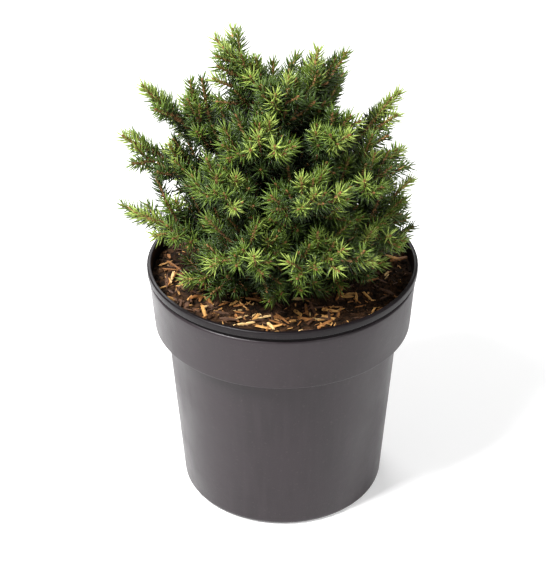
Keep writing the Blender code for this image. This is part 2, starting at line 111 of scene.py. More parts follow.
# Limbs that stand out of the crown: radius and height of the tip
LONG_ARMS = {
    ("waist", 1): (0.103, 0.236),
    ("shoulder", 1): (0.100, 0.277),
    ("shoulder", 5): (0.082, 0.276),
    ("crest", 1): (0.086, 0.309),
    ("top", 2): (0.036, 0.328),
    ("top", 3): (0.026, 0.318),
    ("skirt", 2): (0.055, 0.196),
}
LEADER_TIP = Vector((-0.0375, -0.002, 0.3400))
LEADER_SPRAYS = 4
LEADER_SPRAY_LENGTH = 0.022
AZIMUTH_JITTER = 5.0
REACH_JITTER = 0.04
HEIGHT_JITTER = 0.004

# Boughs
BOUGH_SHARE = 0.36
BOUGH_CONTROL = 0.55
BOUGH_RISE = 0.30
BOUGH_RADIUS = 0.0019
BOUGH_TIP_RADIUS = 0.0013
BOUGH_RINGS = 4
BOUGH_STAGGER = 0.003
LEADER_CONTROL = 0.4

# Side twigs of each mass, by the rule that the solids grow by
CORE_RADIUS = 0.0015
CORE_PITCH = 0.0088
SIDE_LENGTH_JITTER = 0.14
SIDE_FROM = 0.08
SIDE_TO = 0.66
SIDE_OPEN = 52.0
SIDE_OPEN_JITTER = 0.12
SIDE_TURN_JITTER = 14
SIDE_UPTURN = 0.08
SIDE_SHORTENING = 0.06
UPWARD_PULL = Vector((0.0, 0.0, 0.6))
SIDE_TURNS = (18, 162, 88, -12, 192)
SIDE_TRIES = (0, 40, -40, 80, -80)
SHORTEST_SPRAY = 0.013
SIDE_SKIP = 0.0057
LONGER_BY = 0.002
BARE_ROOT = 0.0036
PROBE_STEPS = 8
LENGTH_STEPS = 24
CORE_MARGIN = 0.0030
LIMB_MARGIN = 0.0007
LIP_MARGIN = 0.0020
LIP_INNER_REACH = 0.084
PEAT_MARGIN = 0.0050

# Finer twigs, carried on from the side twigs
FINE_STEP = 0.0015
FINE_MARGIN = -0.0070
FINE_SHORTEST = 0.007
OUTER_SHARE = 0.88
# Below SHADE_TOP the needles darken over SHADE_DEPTH: painted shade under the crown.
SHADE_TOP = 0.235
SHADE_DEPTH = 0.050
# Twigs set one by one, at the crown's outline and in its front: limb, share of its curve, tip
ACCENTS = (
    ("crest_1", 0.75, (-0.0905, -0.010, 0.317)),
    ("crest_1", 0.45, (-0.052, -0.010, 0.321)),
    ("crest_1", 0.55, (-0.060, -0.006, 0.318)),
    ("shoulder_1", 0.80, (-0.105, -0.010, 0.281)),
    ("shoulder_1", 0.45, (-0.072, -0.006, 0.276)),
    ("waist_1", 0.80, (-0.107, -0.018, 0.233)),
    ("shoulder_5", 0.70, (0.079, 0.030, 0.294)),
    ("shoulder_5", 0.62, (0.073, 0.026, 0.291)),
    ("shoulder_5", 0.75, (0.0765, 0.020, 0.282)),
    ("shoulder_5", 0.60, (0.085, 0.004, 0.251)),
    ("shoulder_5", 0.55, (0.070, 0.004, 0.274)),
    ("top_1", 0.60, (0.005, -0.004, 0.329)),
    ("top_2", 0.50, (0.023, 0.005, 0.335)),
    ("top_2", 0.60, (0.041, 0.008, 0.332)),
    ("waist_4", 0.70, (0.086, -0.004, 0.245)),
    ("skirt_4", 0.60, (0.086, 0.020, 0.202)),
    ("skirt_3", 0.60, (0.089, -0.004, 0.208)),
    ("skirt_3", 0.80, (0.083, -0.011, 0.203)),
    ("skirt_4", 0.80, (0.084, 0.006, 0.208)),
    ("skirt_1", 0.55, (-0.047, -0.054, 0.186)),
    ("shoulder_2", 0.60, (-0.022, -0.052, 0.264)),
    ("shoulder_3", 0.55, (-0.004, -0.054, 0.268)),
    ("crest_2", 0.40, (-0.014, -0.048, 0.276)),
    ("leader", 0.50, (-0.041, -0.010, 0.331)),
    ("leader", 0.28, (-0.044, -0.012, 0.323)),
    ("leader", 0.10, (-0.042, -0.012, 0.307)),
)
# Notches in the outline as seen from the front: from, to, height over which no twig ends
NOTCHES = (
    (-0.028, -0.017, 0.334),
    (-0.017, 0.003, 0.322),
    (0.010, 0.030, 0.335),
    (0.038, 0.067, 0.288),
)
# Open sky in the crown's sides as seen from the front: middle, height and radius
SKY_SPOTS = (
    (-0.0885, 0.276, 0.011),
    (-0.070, 0.305, 0.007),
    (-0.0835, 0.2335, 0.0088),
    (-0.0953, 0.194, 0.009),
    (0.080, 0.273, 0.007),
)
NOTCH_SLOPE = 0.62
# Needle tones from dark to light: the needles' own age together with painted shade deep in the crown and painted
# light at its surface.
TONE_NAMES = ("shade", "bottle", "deep", "leaf", "spring", "lime")


def drop(item):
    """Remove a helper object."""
    bpy.data.objects.remove(item, do_unlink=True)


def new_object(name, data):
    """An object in the scene, at the origin."""
    item = bpy.data.objects.new(name, data)
    bpy.context.scene.collection.objects.link(item)
    return item


def baked(item, name):
    """Turn an object with modifiers into a plain mesh object of the given name."""
    graph = bpy.context.evaluated_depsgraph_get()
    mesh = bpy.data.meshes.new_from_object(item.evaluated_get(graph))
    drop(item)
    if not mesh.polygons:
        raise RuntimeError(f"{name} came out empty")
    mesh.name = name
    return new_object(name, mesh)


def seat(item, nodes=()):
    """Let a finished piece ride on the plant's body, in place of its nodes."""
    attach(item, BODY)
    if nodes:
        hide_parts(*nodes)


def smooth(item, angle):
    """Shade an object smooth, with edges over an angle in degrees kept sharp."""
    item.data.shade_smooth()
    item.data.set_sharp_from_angle(angle=math.radians(angle))


class Graph:
    """A node tree, written one node at a time."""

    def __init__(self, tree):
        self.tree = tree

    def node(self, kind, inputs=None, **settings):
        """A node with its settings and its inputs, each a value or another node's socket."""
        made = self.tree.nodes.new(kind)
        for name, value in settings.items():
            setattr(made, name, value)
        for key, value in (inputs or {}).items():
            self.feed(made.inputs[key], value)
        return made

    def feed(self, socket, value):
        """Give a socket a value, or link another socket to it."""
        if isinstance(value, bpy.types.NodeSocket):
            self.tree.links.new(value, socket)
        else:
            socket.default_value = value

    def math(self, operation, first, second=0.0):
        """The result of a sum on one or two values."""
        return self.node("ShaderNodeMath", {0: first, 1: second}, operation=operation).outputs[0]

    def vector(self, operation, first, second=None, scale=None):
        """The vector result of a sum on one or two vectors."""
        made = self.node("ShaderNodeVectorMath", {0: first}, operation=operation)
        if second is not None:
            self.feed(made.inputs[1], second)
        if scale is not None:
            self.feed(made.inputs["Scale"], scale)
        return made.outputs["Vector"]


# Geometry node trees


def geometry_tree(name, inputs):
    """A modifier's tree with named inputs: returns its graph, its input node and its output node."""
    tree = bpy.data.node_groups.new(name, "GeometryNodeTree")
    tree.is_modifier = True
    tree.interface.new_socket(name="Geometry", in_out="INPUT", socket_type="NodeSocketGeometry")
    tree.interface.new_socket(name="Geometry", in_out="OUTPUT", socket_type="NodeSocketGeometry")
    for label, kind, default in inputs:
        socket = tree.interface.new_socket(name=label, in_out="INPUT", socket_type="NodeSocket" + kind)
        if default is not None:
            socket.default_value = default
    graph = Graph(tree)
    return graph, graph.node("NodeGroupInput").outputs, graph.node("NodeGroupOutput").inputs[0]


def apply_tree(item, name, tree_name, values):
    """Run a tree on an object with values for its named inputs, and make the result a plain mesh."""
    tree = shared_tree(tree_name)
    modifier = item.modifiers.new(name, "NODES")
    modifier.node_group = tree
    for socket in tree.interface.items_tree:
        if socket.in_out == "INPUT" and socket.name in values:
            modifier[socket.identifier] = values[socket.name]
    return baked(item, name)


def attribute(graph, name):
    """The value of a named attribute."""
    return graph.node("GeometryNodeInputNamedAttribute", {"Name": name}, data_type="FLOAT").outputs[0]


def random_value(graph, low, high, seed):
    """A random number for each element."""
    made = graph.node("FunctionNodeRandomValue", data_type="FLOAT")
    made.inputs[2].default_value = low
    made.inputs[3].default_value = high
    graph.feed(made.inputs["Seed"], seed)
    return made.outputs[1]


def spin(graph, rotation, axis, angle):
    """A rotation turned about its own axis by an angle."""
    turn = graph.node("FunctionNodeAxisAngleToRotation", {"Axis": axis, "Angle": angle}).outputs[0]
    made = graph.node("FunctionNodeRotateRotation", {"Rotation": rotation, "Rotate By": turn})
    made.rotation_space = "LOCAL"
    return made.outputs[0]


def needle_tree():
    """Needles in a spiral along each line: four-sided, bent, pointed, paler on the inner faces."""
    graph, given, result = geometry_tree("Needles along twigs", (
        ("Spacing", "Float", 0.0003),
        ("Length", "Float", 0.012),
        ("Width", "Float", 0.0009),
        ("Bend", "Float", 0.10),
        ("Length Variation", "Float", 0.18),
        ("Opening Variation", "Float", 0.16),
        ("Upward Pull", "Float", 0.08),
        ("Lowest Height", "Float", 0.17),
        ("Lip Height", "Float", 0.18),
        ("Lip Reach", "Float", 0.084),
        ("Seed", "Int", 1),
        ("Outer Face", "Material", None),
        ("Inner Face", "Material", None),
    ))
    # One needle of unit length along Z, bent towards -X
    straight_line = graph.node("GeometryNodeCurvePrimitiveLine", {"Start": (0, 0, 0), "End": (0, 0, 1)})
    stepped = graph.node("GeometryNodeResampleCurve", {"Curve": straight_line.outputs[0], "Count": 3})
    share = graph.node("GeometryNodeSplineParameter").outputs["Factor"]
    bend = graph.math("MULTIPLY", graph.math("MULTIPLY", share, share), graph.math("MULTIPLY", given["Bend"], -1.0))
    aside = graph.node("ShaderNodeCombineXYZ", {"X": bend}).outputs[0]
    spine = graph.node("GeometryNodeSetPosition", {"Geometry": stepped.outputs[0], "Offset": aside})
    hump = graph.math("MULTIPLY", graph.math("SUBTRACT", 1.0, share), graph.math("ADD", share, 0.45))
    girth = graph.math("MAXIMUM", graph.math("MULTIPLY", hump, 1.9), 0.04)
    thick = graph.node("GeometryNodeSetCurveRadius", {"Curve": spine.outputs[0], "Radius": girth})
    ring = graph.node("GeometryNodeCurvePrimitiveCircle", {"Resolution": 4, "Radius": 0.5})
    turned_ring = graph.node("GeometryNodeTransform", {"Geometry": ring.outputs[0],
                                                       "Rotation": (0.0, 0.0, math.pi / 4)})
    width = graph.math("DIVIDE", given["Width"], given["Length"])
    sized = graph.node("GeometryNodeTransform", {"Geometry": turned_ring.outputs[0]})
    scale = graph.node("ShaderNodeCombineXYZ", {"X": width, "Y": width, "Z": 1.0}).outputs[0]
    graph.feed(sized.inputs["Scale"], scale)
    blade = graph.node("GeometryNodeCurveToMesh", {"Curve": thick.outputs[0],
                                                   "Profile Curve": sized.outputs[0], "Fill Caps": True})
    scale_input = blade.inputs.get("Scale")
    if scale_input is not None:
        radius = graph.node("GeometryNodeInputRadius").outputs[0]
        graph.feed(scale_input, radius)
    closed = graph.node("GeometryNodeMergeByDistance", {"Geometry": blade.outputs[0], "Distance": 0.008})
    facing = graph.node("ShaderNodeSeparateXYZ", {0: graph.node("GeometryNodeInputNormal").outputs[0]})
    forward = graph.node("FunctionNodeCompare", {0: facing.outputs["X"], 1: -0.2}, operation="LESS_THAN")
    needle = graph.node("GeometryNodeStoreNamedAttribute", {
        "Geometry": closed.outputs[0], "Name": "inner", "Value": forward.outputs[0]},
        data_type="BOOLEAN", domain="FACE").outputs[0]
    # Its place on the twig, turned by the golden angle from one needle to the next
    lines = graph.node("GeometryNodeMeshToCurve", {"Mesh": given["Geometry"]}).outputs[0]
    points = graph.node("GeometryNodeCurveToPoints", {"Curve": lines, "Length": given["Spacing"]},
                        mode="LENGTH")
    along = graph.node("FunctionNodeAlignRotationToVector", {"Vector": points.outputs["Tangent"]},
                       axis="Z").outputs[0]
    index = graph.node("GeometryNodeInputIndex").outputs[0]
    golden = graph.math("MULTIPLY", index, math.pi * (3 - math.sqrt(5)))
    wander = random_value(graph, -0.35, 0.35, given["Seed"])
    around = spin(graph, along, (0.0, 0.0, 1.0), graph.math("ADD", golden, wander))
    seed_open = graph.math("ADD", given["Seed"], 7.0)
    open_share = random_value(graph, -1.0, 1.0, seed_open)
    open_more = graph.math("ADD", graph.math("MULTIPLY", open_share, given["Opening Variation"]), 1.0)
    opening = graph.math("MULTIPLY", attribute(graph, "opening"), open_more)
    tilted = spin(graph, around, (0.0, 1.0, 0.0), opening)
    aim = graph.node("FunctionNodeRotateVector", {"Vector": (0.0, 0.0, 1.0), "Rotation": tilted}).outputs[0]
    lift = graph.node("ShaderNodeCombineXYZ", {"Z": given["Upward Pull"]}).outputs[0]
    lifted = graph.vector("ADD", aim, lift)
    stand = graph.node("FunctionNodeAlignRotationToVector", {"Rotation": tilted, "Vector": lifted},
                       axis="Z").outputs[0]
    seed_length = graph.math("ADD", given["Seed"], 13.0)
    length_share = random_value(graph, -1.0, 1.0, seed_length)
    length_more = graph.math("ADD", graph.math("MULTIPLY", length_share, given["Length Variation"]), 1.0)
    size = graph.math("MULTIPLY", given["Length"], length_more)
    long_size = graph.math("MULTIPLY", size, attribute(graph, "needle"))
    scales = graph.node("ShaderNodeCombineXYZ", {"X": given["Length"], "Y": given["Length"], "Z": long_size})
    # A needle that would end in the peat or the lip is left out
    unit = graph.vector("NORMALIZE", lifted)
    reach = graph.vector("SCALE", unit, scale=long_size)
    place = graph.node("GeometryNodeInputPosition").outputs[0]
    tip = graph.vector("ADD", place, reach)
    parts = graph.node("ShaderNodeSeparateXYZ", {0: tip}).outputs
    above = graph.node("FunctionNodeCompare", {0: parts["Z"], 1: given["Lowest Height"]},
                       operation="GREATER_THAN").outputs[0]
    flat = graph.vector("MULTIPLY", tip, (1.0, 1.0, 0.0))
    out = graph.node("ShaderNodeVectorMath", {0: flat}, operation="LENGTH").outputs["Value"]
    inside = graph.node("FunctionNodeCompare", {0: out, 1: given["Lip Reach"]},
                        operation="LESS_THAN").outputs[0]
    over = graph.node("FunctionNodeCompare", {0: parts["Z"], 1: given["Lip Height"]},
                      operation="GREATER_THAN").outputs[0]
    clear = graph.node("FunctionNodeBooleanMath", {0: inside, 1: over}, operation="OR").outputs[0]
    allowed = graph.node("FunctionNodeBooleanMath", {0: above, 1: clear}, operation="AND").outputs[0]
    chance = random_value(graph, 0.0, 1.0, graph.math("ADD", given["Seed"], 19.0))
    full = graph.node("FunctionNodeCompare", {0: chance, 1: attribute(graph, "fullness")},
                      operation="LESS_THAN").outputs[0]
    keep = graph.node("FunctionNodeBooleanMath", {0: allowed, 1: full}, operation="AND").outputs[0]
    placed = graph.node("GeometryNodeInstanceOnPoints", {"Points": points.outputs["Points"],
                                                         "Selection": keep, "Instance": needle,
                                                         "Rotation": stand, "Scale": scales.outputs[0]})
    real = graph.node("GeometryNodeRealizeInstances", {"Geometry": placed.outputs[0]}).outputs[0]
    outer = graph.node("GeometryNodeSetMaterial", {"Geometry": real, "Material": given["Outer Face"]})
    inner = graph.node("GeometryNodeInputNamedAttribute", {"Name": "inner"}, data_type="BOOLEAN").outputs[0]
    final = graph.node("GeometryNodeSetMaterial", {"Geometry": outer.outputs[0], "Selection": inner,
                                                   "Material": given["Inner Face"]})
    graph.feed(result, final.outputs[0])
    return graph.tree


def tube_tree():
    """A round limb along each line, with the relief of its bark and the pegs that carried needles."""
    graph, given, result = geometry_tree("Bark along limbs", (
        ("Ring Spacing", "Float", 0.001),
        ("Sides", "Int", 12),
        ("Ridge Depth", "Float", 0.0004),
        ("Ridge Scale", "Float", 220.0),
        ("Ridge Stretch", "Float", 0.35),
        ("Peg Spacing", "Float", 0.0008),
        ("Peg Length", "Float", 0.0010),
        ("Peg Width", "Float", 0.0008),
        ("Seed", "Int", 1),
        ("Bark", "Material", None),
    ))
    lines = graph.node("GeometryNodeMeshToCurve", {"Mesh": given["Geometry"]}).outputs[0]
    even = graph.node("GeometryNodeResampleCurve", {"Curve": lines, "Length": given["Ring Spacing"]},
                      mode="LENGTH").outputs[0]
    girth = attribute(graph, "girth")
    thick = graph.node("GeometryNodeSetCurveRadius", {"Curve": even, "Radius": girth}).outputs[0]
    ring = graph.node("GeometryNodeCurvePrimitiveCircle", {"Resolution": given["Sides"], "Radius": 1.0})
    tube = graph.node("GeometryNodeCurveToMesh", {"Curve": thick, "Profile Curve": ring.outputs[0],
                                                  "Fill Caps": True})
    scale_input = tube.inputs.get("Scale")
    if scale_input is not None:
        graph.feed(scale_input, graph.node("GeometryNodeInputRadius").outputs[0])
    place = graph.node("GeometryNodeInputPosition").outputs[0]
    squeeze = graph.node("ShaderNodeCombineXYZ", {"X": 1.0, "Y": 1.0, "Z": given["Ridge Stretch"]})
    stretched = graph.vector("MULTIPLY", place, squeeze.outputs[0])
    seed_shift = graph.node("ShaderNodeCombineXYZ", {"X": given["Seed"]}).outputs[0]
    shifted = graph.vector("ADD", stretched, seed_shift)
    ridges = graph.node("ShaderNodeTexNoise", {"Vector": shifted, "Scale": given["Ridge Scale"],
                                               "Detail": 3.0, "Roughness": 0.6}).outputs[0]
    height = graph.math("MULTIPLY", graph.math("SUBTRACT", ridges, 0.5), given["Ridge Depth"])
    normal = graph.node("GeometryNodeInputNormal").outputs[0]
    offset = graph.vector("SCALE", normal, scale=graph.math("MULTIPLY", height, 2.0))
    rough = graph.node("GeometryNodeSetPosition", {"Geometry": tube.outputs[0], "Offset": offset}).outputs[0]
    # Pegs: small three-sided cones that lean forward out of the bark
    cone = graph.node("GeometryNodeMeshCone", {"Vertices": 3, "Radius Top": 0.0, "Radius Bottom": 0.5,
                                               "Depth": 1.0}).outputs[0]
    points = graph.node("GeometryNodeCurveToPoints", {"Curve": thick, "Length": given["Peg Spacing"]},
                        mode="LENGTH")
    along = graph.node("FunctionNodeAlignRotationToVector", {"Vector": points.outputs["Tangent"]},
                       axis="Z").outputs[0]
    index = graph.node("GeometryNodeInputIndex").outputs[0]
    around = spin(graph, along, (0.0, 0.0, 1.0), graph.math("MULTIPLY", index, math.pi * (3 - math.sqrt(5))))
    tilted = spin(graph, around, (0.0, 1.0, 0.0), math.radians(62))
    aim = graph.node("FunctionNodeRotateVector", {"Vector": (1.0, 0.0, 0.0), "Rotation": around}).outputs[0]
    sunk = graph.math("MULTIPLY", attribute(graph, "girth"), 0.88)
    moved = graph.node("GeometryNodeSetPosition", {"Geometry": points.outputs["Points"],
                                                   "Offset": graph.vector("SCALE", aim, scale=sunk)})
    scales = graph.node("ShaderNodeCombineXYZ", {"X": given["Peg Width"], "Y": given["Peg Width"],
                                                 "Z": given["Peg Length"]}).outputs[0]
    pegs = graph.node("GeometryNodeInstanceOnPoints", {"Points": moved.outputs[0], "Instance": cone,
                                                       "Rotation": tilted, "Scale": scales}).outputs[0]
    joined = graph.node("GeometryNodeJoinGeometry", {"Geometry": rough})
    graph.feed(joined.inputs[0], pegs)
    real = graph.node("GeometryNodeRealizeInstances", {"Geometry": joined.outputs[0]}).outputs[0]
    final = graph.node("GeometryNodeSetMaterial", {"Geometry": real, "Material": given["Bark"]}).outputs[0]
    graph.feed(result, final)
    return graph.tree


def scatter_tree():
    """A shape set on each point of a mesh, turned and scaled by the point's own attributes."""
    graph, given, result = geometry_tree("Pieces on points", (
        ("Shape", "Object", None),
        ("Size", "Float", 1.0),
        ("Finish", "Material", None),
    ))
    shape = graph.node("GeometryNodeObjectInfo", {"Object": given["Shape"]}).outputs["Geometry"]
    points = graph.node("GeometryNodeMeshToPoints", {"Mesh": given["Geometry"]}).outputs[0]
    turn = graph.node("GeometryNodeInputNamedAttribute", {"Name": "turn"}, data_type="FLOAT_VECTOR")
    rotation = graph.node("FunctionNodeEulerToRotation", {0: turn.outputs[0]}).outputs[0]
    grow = graph.node("GeometryNodeInputNamedAttribute", {"Name": "size"}, data_type="FLOAT_VECTOR")
    scale = graph.vector("SCALE", grow.outputs[0], scale=given["Size"])
    placed = graph.node("GeometryNodeInstanceOnPoints", {"Points": points, "Instance": shape,
                                                         "Rotation": rotation, "Scale": scale}).outputs[0]
    real = graph.node("GeometryNodeRealizeInstances", {"Geometry": placed}).outputs[0]
    final = graph.node("GeometryNodeSetMaterial", {"Geometry": real, "Material": given["Finish"]}).outputs[0]
    graph.feed(result, final)
    return graph.tree


def point_cloud(name, places, turns, sizes):
    """A mesh of loose points with a turn and a size at each."""
    mesh = bpy.data.meshes.new(name)
    mesh.from_pydata([tuple(place) for place in places], [], [])
    for label, values in (("turn", turns), ("size", sizes)):
        layer = mesh.attributes.new(label, "FLOAT_VECTOR", "POINT")
        layer.data.foreach_set("vector", np.array(values, np.float32).ravel())
    return new_object(name, mesh)


def line_object(name, runs):
    """A mesh of open lines with a girth, and how needles stand, how long and how full, at each point."""
    verts, edges = [], []
    values = {name: [] for name in ("girth", "opening", "needle", "fullness")}
    for run in runs:
        first = len(verts)
        verts += [tuple(place) for place in run["points"]]
        edges += [(first + i, first + i + 1) for i in range(len(run["points"]) - 1)]
        for name in values:
            values[name] += run[name]
    mesh = bpy.data.meshes.new(name)
    mesh.from_pydata(verts, edges, [])
    for label, numbers in values.items():
        layer = mesh.attributes.new(label, "FLOAT", "POINT")
        layer.data.foreach_set("value", np.array(numbers, np.float32))
    return new_object(name, mesh)


# Shader node groups and materials


def effect_group(name, inputs, outputs):
    """A shader node group with named inputs and outputs: its graph, inputs and output node."""
    tree = bpy.data.node_groups.new(name, "ShaderNodeTree")
    for label, kind, default in inputs:
        socket = tree.interface.new_socket(name=label, in_out="INPUT", socket_type="NodeSocket" + kind)
        if default is not None:
            socket.default_value = default
    for label, kind in outputs:
        tree.interface.new_socket(name=label, in_out="OUTPUT", socket_type="NodeSocket" + kind)
    graph = Graph(tree)
    return graph, graph.node("NodeGroupInput").outputs, graph.node("NodeGroupOutput").inputs


def mottle_group():
    """Two colours mixed by a soft noise, and its mask."""
    graph, given, out = effect_group("Mottle", (
        ("Vector", "Vector", None), ("Scale", "Float", 50.0), ("Detail", "Float", 4.0),
        ("Low", "Float", 0.4), ("High", "Float", 0.6), ("First", "Color", None), ("Second", "Color", None),
    ), (("Color", "Color"), ("Mask", "Float")))
    pattern = graph.node("ShaderNodeTexNoise", {"Vector": given["Vector"], "Scale": given["Scale"],
                                                "Detail": given["Detail"]}).outputs[0]
    mask = graph.node("ShaderNodeMapRange", {"Value": pattern, "From Min": given["Low"],
                                             "From Max": given["High"]}, clamp=True).outputs[0]
    mixed = graph.node("ShaderNodeMix", data_type="RGBA")
    graph.feed(mixed.inputs["Factor"], mask)
    graph.feed(mixed.inputs[6], given["First"])
    graph.feed(mixed.inputs[7], given["Second"])
    graph.feed(out["Color"], mixed.outputs[2])
    graph.feed(out["Mask"], mask)
    return graph.tree


def grain_group():
    """A height from a coarse and a fine noise."""
    graph, given, out = effect_group("Grain", (
        ("Vector", "Vector", None), ("Coarse Scale", "Float", 200.0), ("Fine Scale", "Float", 2000.0),
        ("Fine Share", "Float", 0.5),
    ), (("Height", "Float"),))
    coarse = graph.node("ShaderNodeTexNoise", {"Vector": given["Vector"], "Scale": given["Coarse Scale"],
                                               "Detail": 5.0}).outputs[0]
    fine = graph.node("ShaderNodeTexNoise", {"Vector": given["Vector"], "Scale": given["Fine Scale"],
                                             "Detail": 2.0}).outputs[0]
    total = graph.math("ADD", coarse, graph.math("MULTIPLY", fine, given["Fine Share"]))
    graph.feed(out["Height"], total)
    return graph.tree


def shared_tree(name):
    """A node tree that several pieces share, built when it is first asked for."""
    makers = {"Mottle": mottle_group, "Grain": grain_group, "Needles along twigs": needle_tree,
              "Bark along limbs": tube_tree, "Pieces on points": scatter_tree}
    return bpy.data.node_groups.get(name) or makers[name]()


def new_material(name, colour, roughness):
    """A Principled material: its graph, its shader node and the material."""
    material = bpy.data.materials.new(name)
    material.use_nodes = True
    graph = Graph(material.node_tree)
    shader = material.node_tree.nodes["Principled BSDF"]
    shader.inputs["Base Color"].default_value = (*colour, 1.0)
    shader.inputs["Roughness"].default_value = roughness
    material.diffuse_color = (*colour, 1.0)
    return graph, shader, material


def placed_group(graph, name, inputs):
    """A shared effect placed in a material."""
    made = graph.node("ShaderNodeGroup", node_tree=shared_tree(name))
    for key, value in inputs.items():
        graph.feed(made.inputs[key], value)
    return made.outputs


def colour4(colour):
    """A colour with its alpha."""
    return (*colour, 1.0)


def relief(graph, shader, height, distance, strength=1.0):
    """A bump on a shader from a height."""
    bump = graph.node("ShaderNodeBump", {"Height": height, "Distance": distance, "Strength": strength})
    graph.feed(shader.inputs["Normal"], bump.outputs[0])


def pot_material(name, colour, roughness, gloss):
    """Dark recycled plastic: faintly mottled and dusty, with upright draw marks and a moulded grain."""
    graph, shader, material = new_material(name, colour, roughness)
    shader.inputs["Specular IOR Level"].default_value = gloss
    place = graph.node("ShaderNodeTexCoord").outputs["Object"]
    colour = Vector(colour)
    mottle = placed_group(graph, "Mottle", {
        "Vector": place, "Scale": 26.0, "Detail": 6.0, "Low": 0.36, "High": 0.66,
        "First": colour4(colour * 0.86), "Second": colour4(colour * 1.14)})
    upright = graph.node("ShaderNodeMapping", {"Vector": place, "Scale": (1.0, 1.0, 0.05)}).outputs[0]
    draw = placed_group(graph, "Mottle", {
        "Vector": upright, "Scale": 200.0, "Detail": 2.0, "Low": 0.44, "High": 0.74,
        "First": mottle["Color"], "Second": colour4(colour * 1.20)})
    dust = placed_group(graph, "Mottle", {
        "Vector": place, "Scale": 520.0, "Detail": 3.0, "Low": 0.62, "High": 0.80,
        "First": draw["Color"], "Second": colour4(colour * 1.7 + Vector((0.007, 0.005, 0.003)))})
    graph.feed(shader.inputs["Base Color"], dust["Color"])
    wear = graph.math("ADD", mottle["Mask"], graph.math("MULTIPLY", draw["Mask"], 0.3))
    rough = graph.node("ShaderNodeMapRange", {"Value": wear, "From Max": 1.3, "To Min": roughness - 0.06,
                                              "To Max": roughness + 0.10}).outputs[0]
    graph.feed(shader.inputs["Roughness"], rough)
    grain = placed_group(graph, "Grain", {"Vector": place, "Coarse Scale": 70.0, "Fine Scale": 1300.0,
                                          "Fine Share": 0.30})
    relief(graph, shader, grain["Height"], 0.0005, 0.40)
    return material


def peat_material(name, dark, light, bump):
    """Moist peat: near black with brown fibre."""
    graph, shader, material = new_material(name, dark, 1.0)
    shader.inputs["Specular IOR Level"].default_value = 0.15
    place = graph.node("ShaderNodeTexCoord").outputs["Object"]
    mottle = placed_group(graph, "Mottle", {
        "Vector": place, "Scale": 260.0, "Detail": 6.0, "Low": 0.42, "High": 0.70,
        "First": colour4(dark), "Second": colour4(light)})
    graph.feed(shader.inputs["Base Color"], mottle["Color"])
    grain = placed_group(graph, "Grain", {"Vector": place, "Coarse Scale": 420.0, "Fine Scale": 2400.0,
                                          "Fine Share": 0.6})
    relief(graph, shader, grain["Height"], bump)
    return material


def chip_material(name, colour, roughness=0.62):
    """Split wood: streaks along the chip, from its own map."""
    graph, shader, material = new_material(name, colour, roughness)
    along = graph.node("ShaderNodeUVMap", uv_map="grain").outputs[0]
    streak = graph.node("ShaderNodeMapping", {"Vector": along, "Scale": (1.5, 9.0, 1.0)}).outputs[0]
    tint = Vector(colour)
    mottle = placed_group(graph, "Mottle", {
        "Vector": streak, "Scale": 2.4, "Detail": 4.0, "Low": 0.35, "High": 0.68,
        "First": colour4(tint * 0.52), "Second": colour4(tint * 1.25)})
    graph.feed(shader.inputs["Base Color"], mottle["Color"])
    relief(graph, shader, mottle["Mask"], 0.0003, 0.7)
    return material


def bark_material(name, dark, light, scale, roughness=0.8):
    """Bark: two browns in flakes, with a rough relief."""
    graph, shader, material = new_material(name, dark, roughness)
    place = graph.node("ShaderNodeTexCoord").outputs["Object"]
    mottle = placed_group(graph, "Mottle", {
        "Vector": place, "Scale": scale, "Detail": 5.0, "Low": 0.38, "High": 0.64,
        "First": colour4(dark), "Second": colour4(light)})
    graph.feed(shader.inputs["Base Color"], mottle["Color"])
    grain = placed_group(graph, "Grain", {"Vector": place, "Coarse Scale": scale * 2, "Fine Scale": scale * 8,
                                          "Fine Share": 0.4})
    relief(graph, shader, grain["Height"], 0.0004, 0.8)
    return material


def plain_material(name, colour, roughness, gloss=0.5):
    """A plain finish for a piece with no pattern of its own."""
    _, shader, material = new_material(name, colour, roughness)
    shader.inputs["Specular IOR Level"].default_value = gloss
    return material


# The growth rule of the plant


def trunk_point(height):
    """Centre of the trunk at a height."""
    share = (height - TRUNK_FOOT) / (TRUNK_TOP - TRUNK_FOOT)
    lean = TRUNK_LEAN * max(0.0, share) ** TRUNK_BEND
    return Vector((lean.x, lean.y, height))


def trunk_radius(height):
    """Radius of the trunk at a height, with the flare of its foot."""
    share = (height - TRUNK_FOOT) / (TRUNK_TOP - TRUNK_FOOT)
    flare = FLARE_RADIUS * math.exp(-(height - TRUNK_FOOT) / FLARE_HEIGHT)
    return TRUNK_RADIUS + (TRUNK_TIP_RADIUS - TRUNK_RADIUS) * share + flare


class Limb:
    """A bough and its mass, along one curve from the trunk to the tip of the crown."""

    def __init__(self, name, points, share, sprays, spray_length):
        self.name = name
        self.points = points
        self.share = share
        self.sprays = sprays
        self.spray_length = spray_length

    def at(self, share):
        """Point on the limb's curve."""
        root, control, tip = self.points
        rest = 1.0 - share
        return root * rest * rest + control * 2 * rest * share + tip * share * share

    def along(self, share):
        """Direction of the limb's curve."""
        root, control, tip = self.points
        return ((control - root) * (1.0 - share) + (tip - control) * share).normalized()

    def length(self):
        """Length of the limb's curve."""
        places = [self.at(i / LENGTH_STEPS) for i in range(LENGTH_STEPS + 1)]
        return sum((b - a).length for a, b in zip(places, places[1:]))

    def heart(self):
        """Middle of the mass."""
        return self.at(0.5 + self.share / 2)


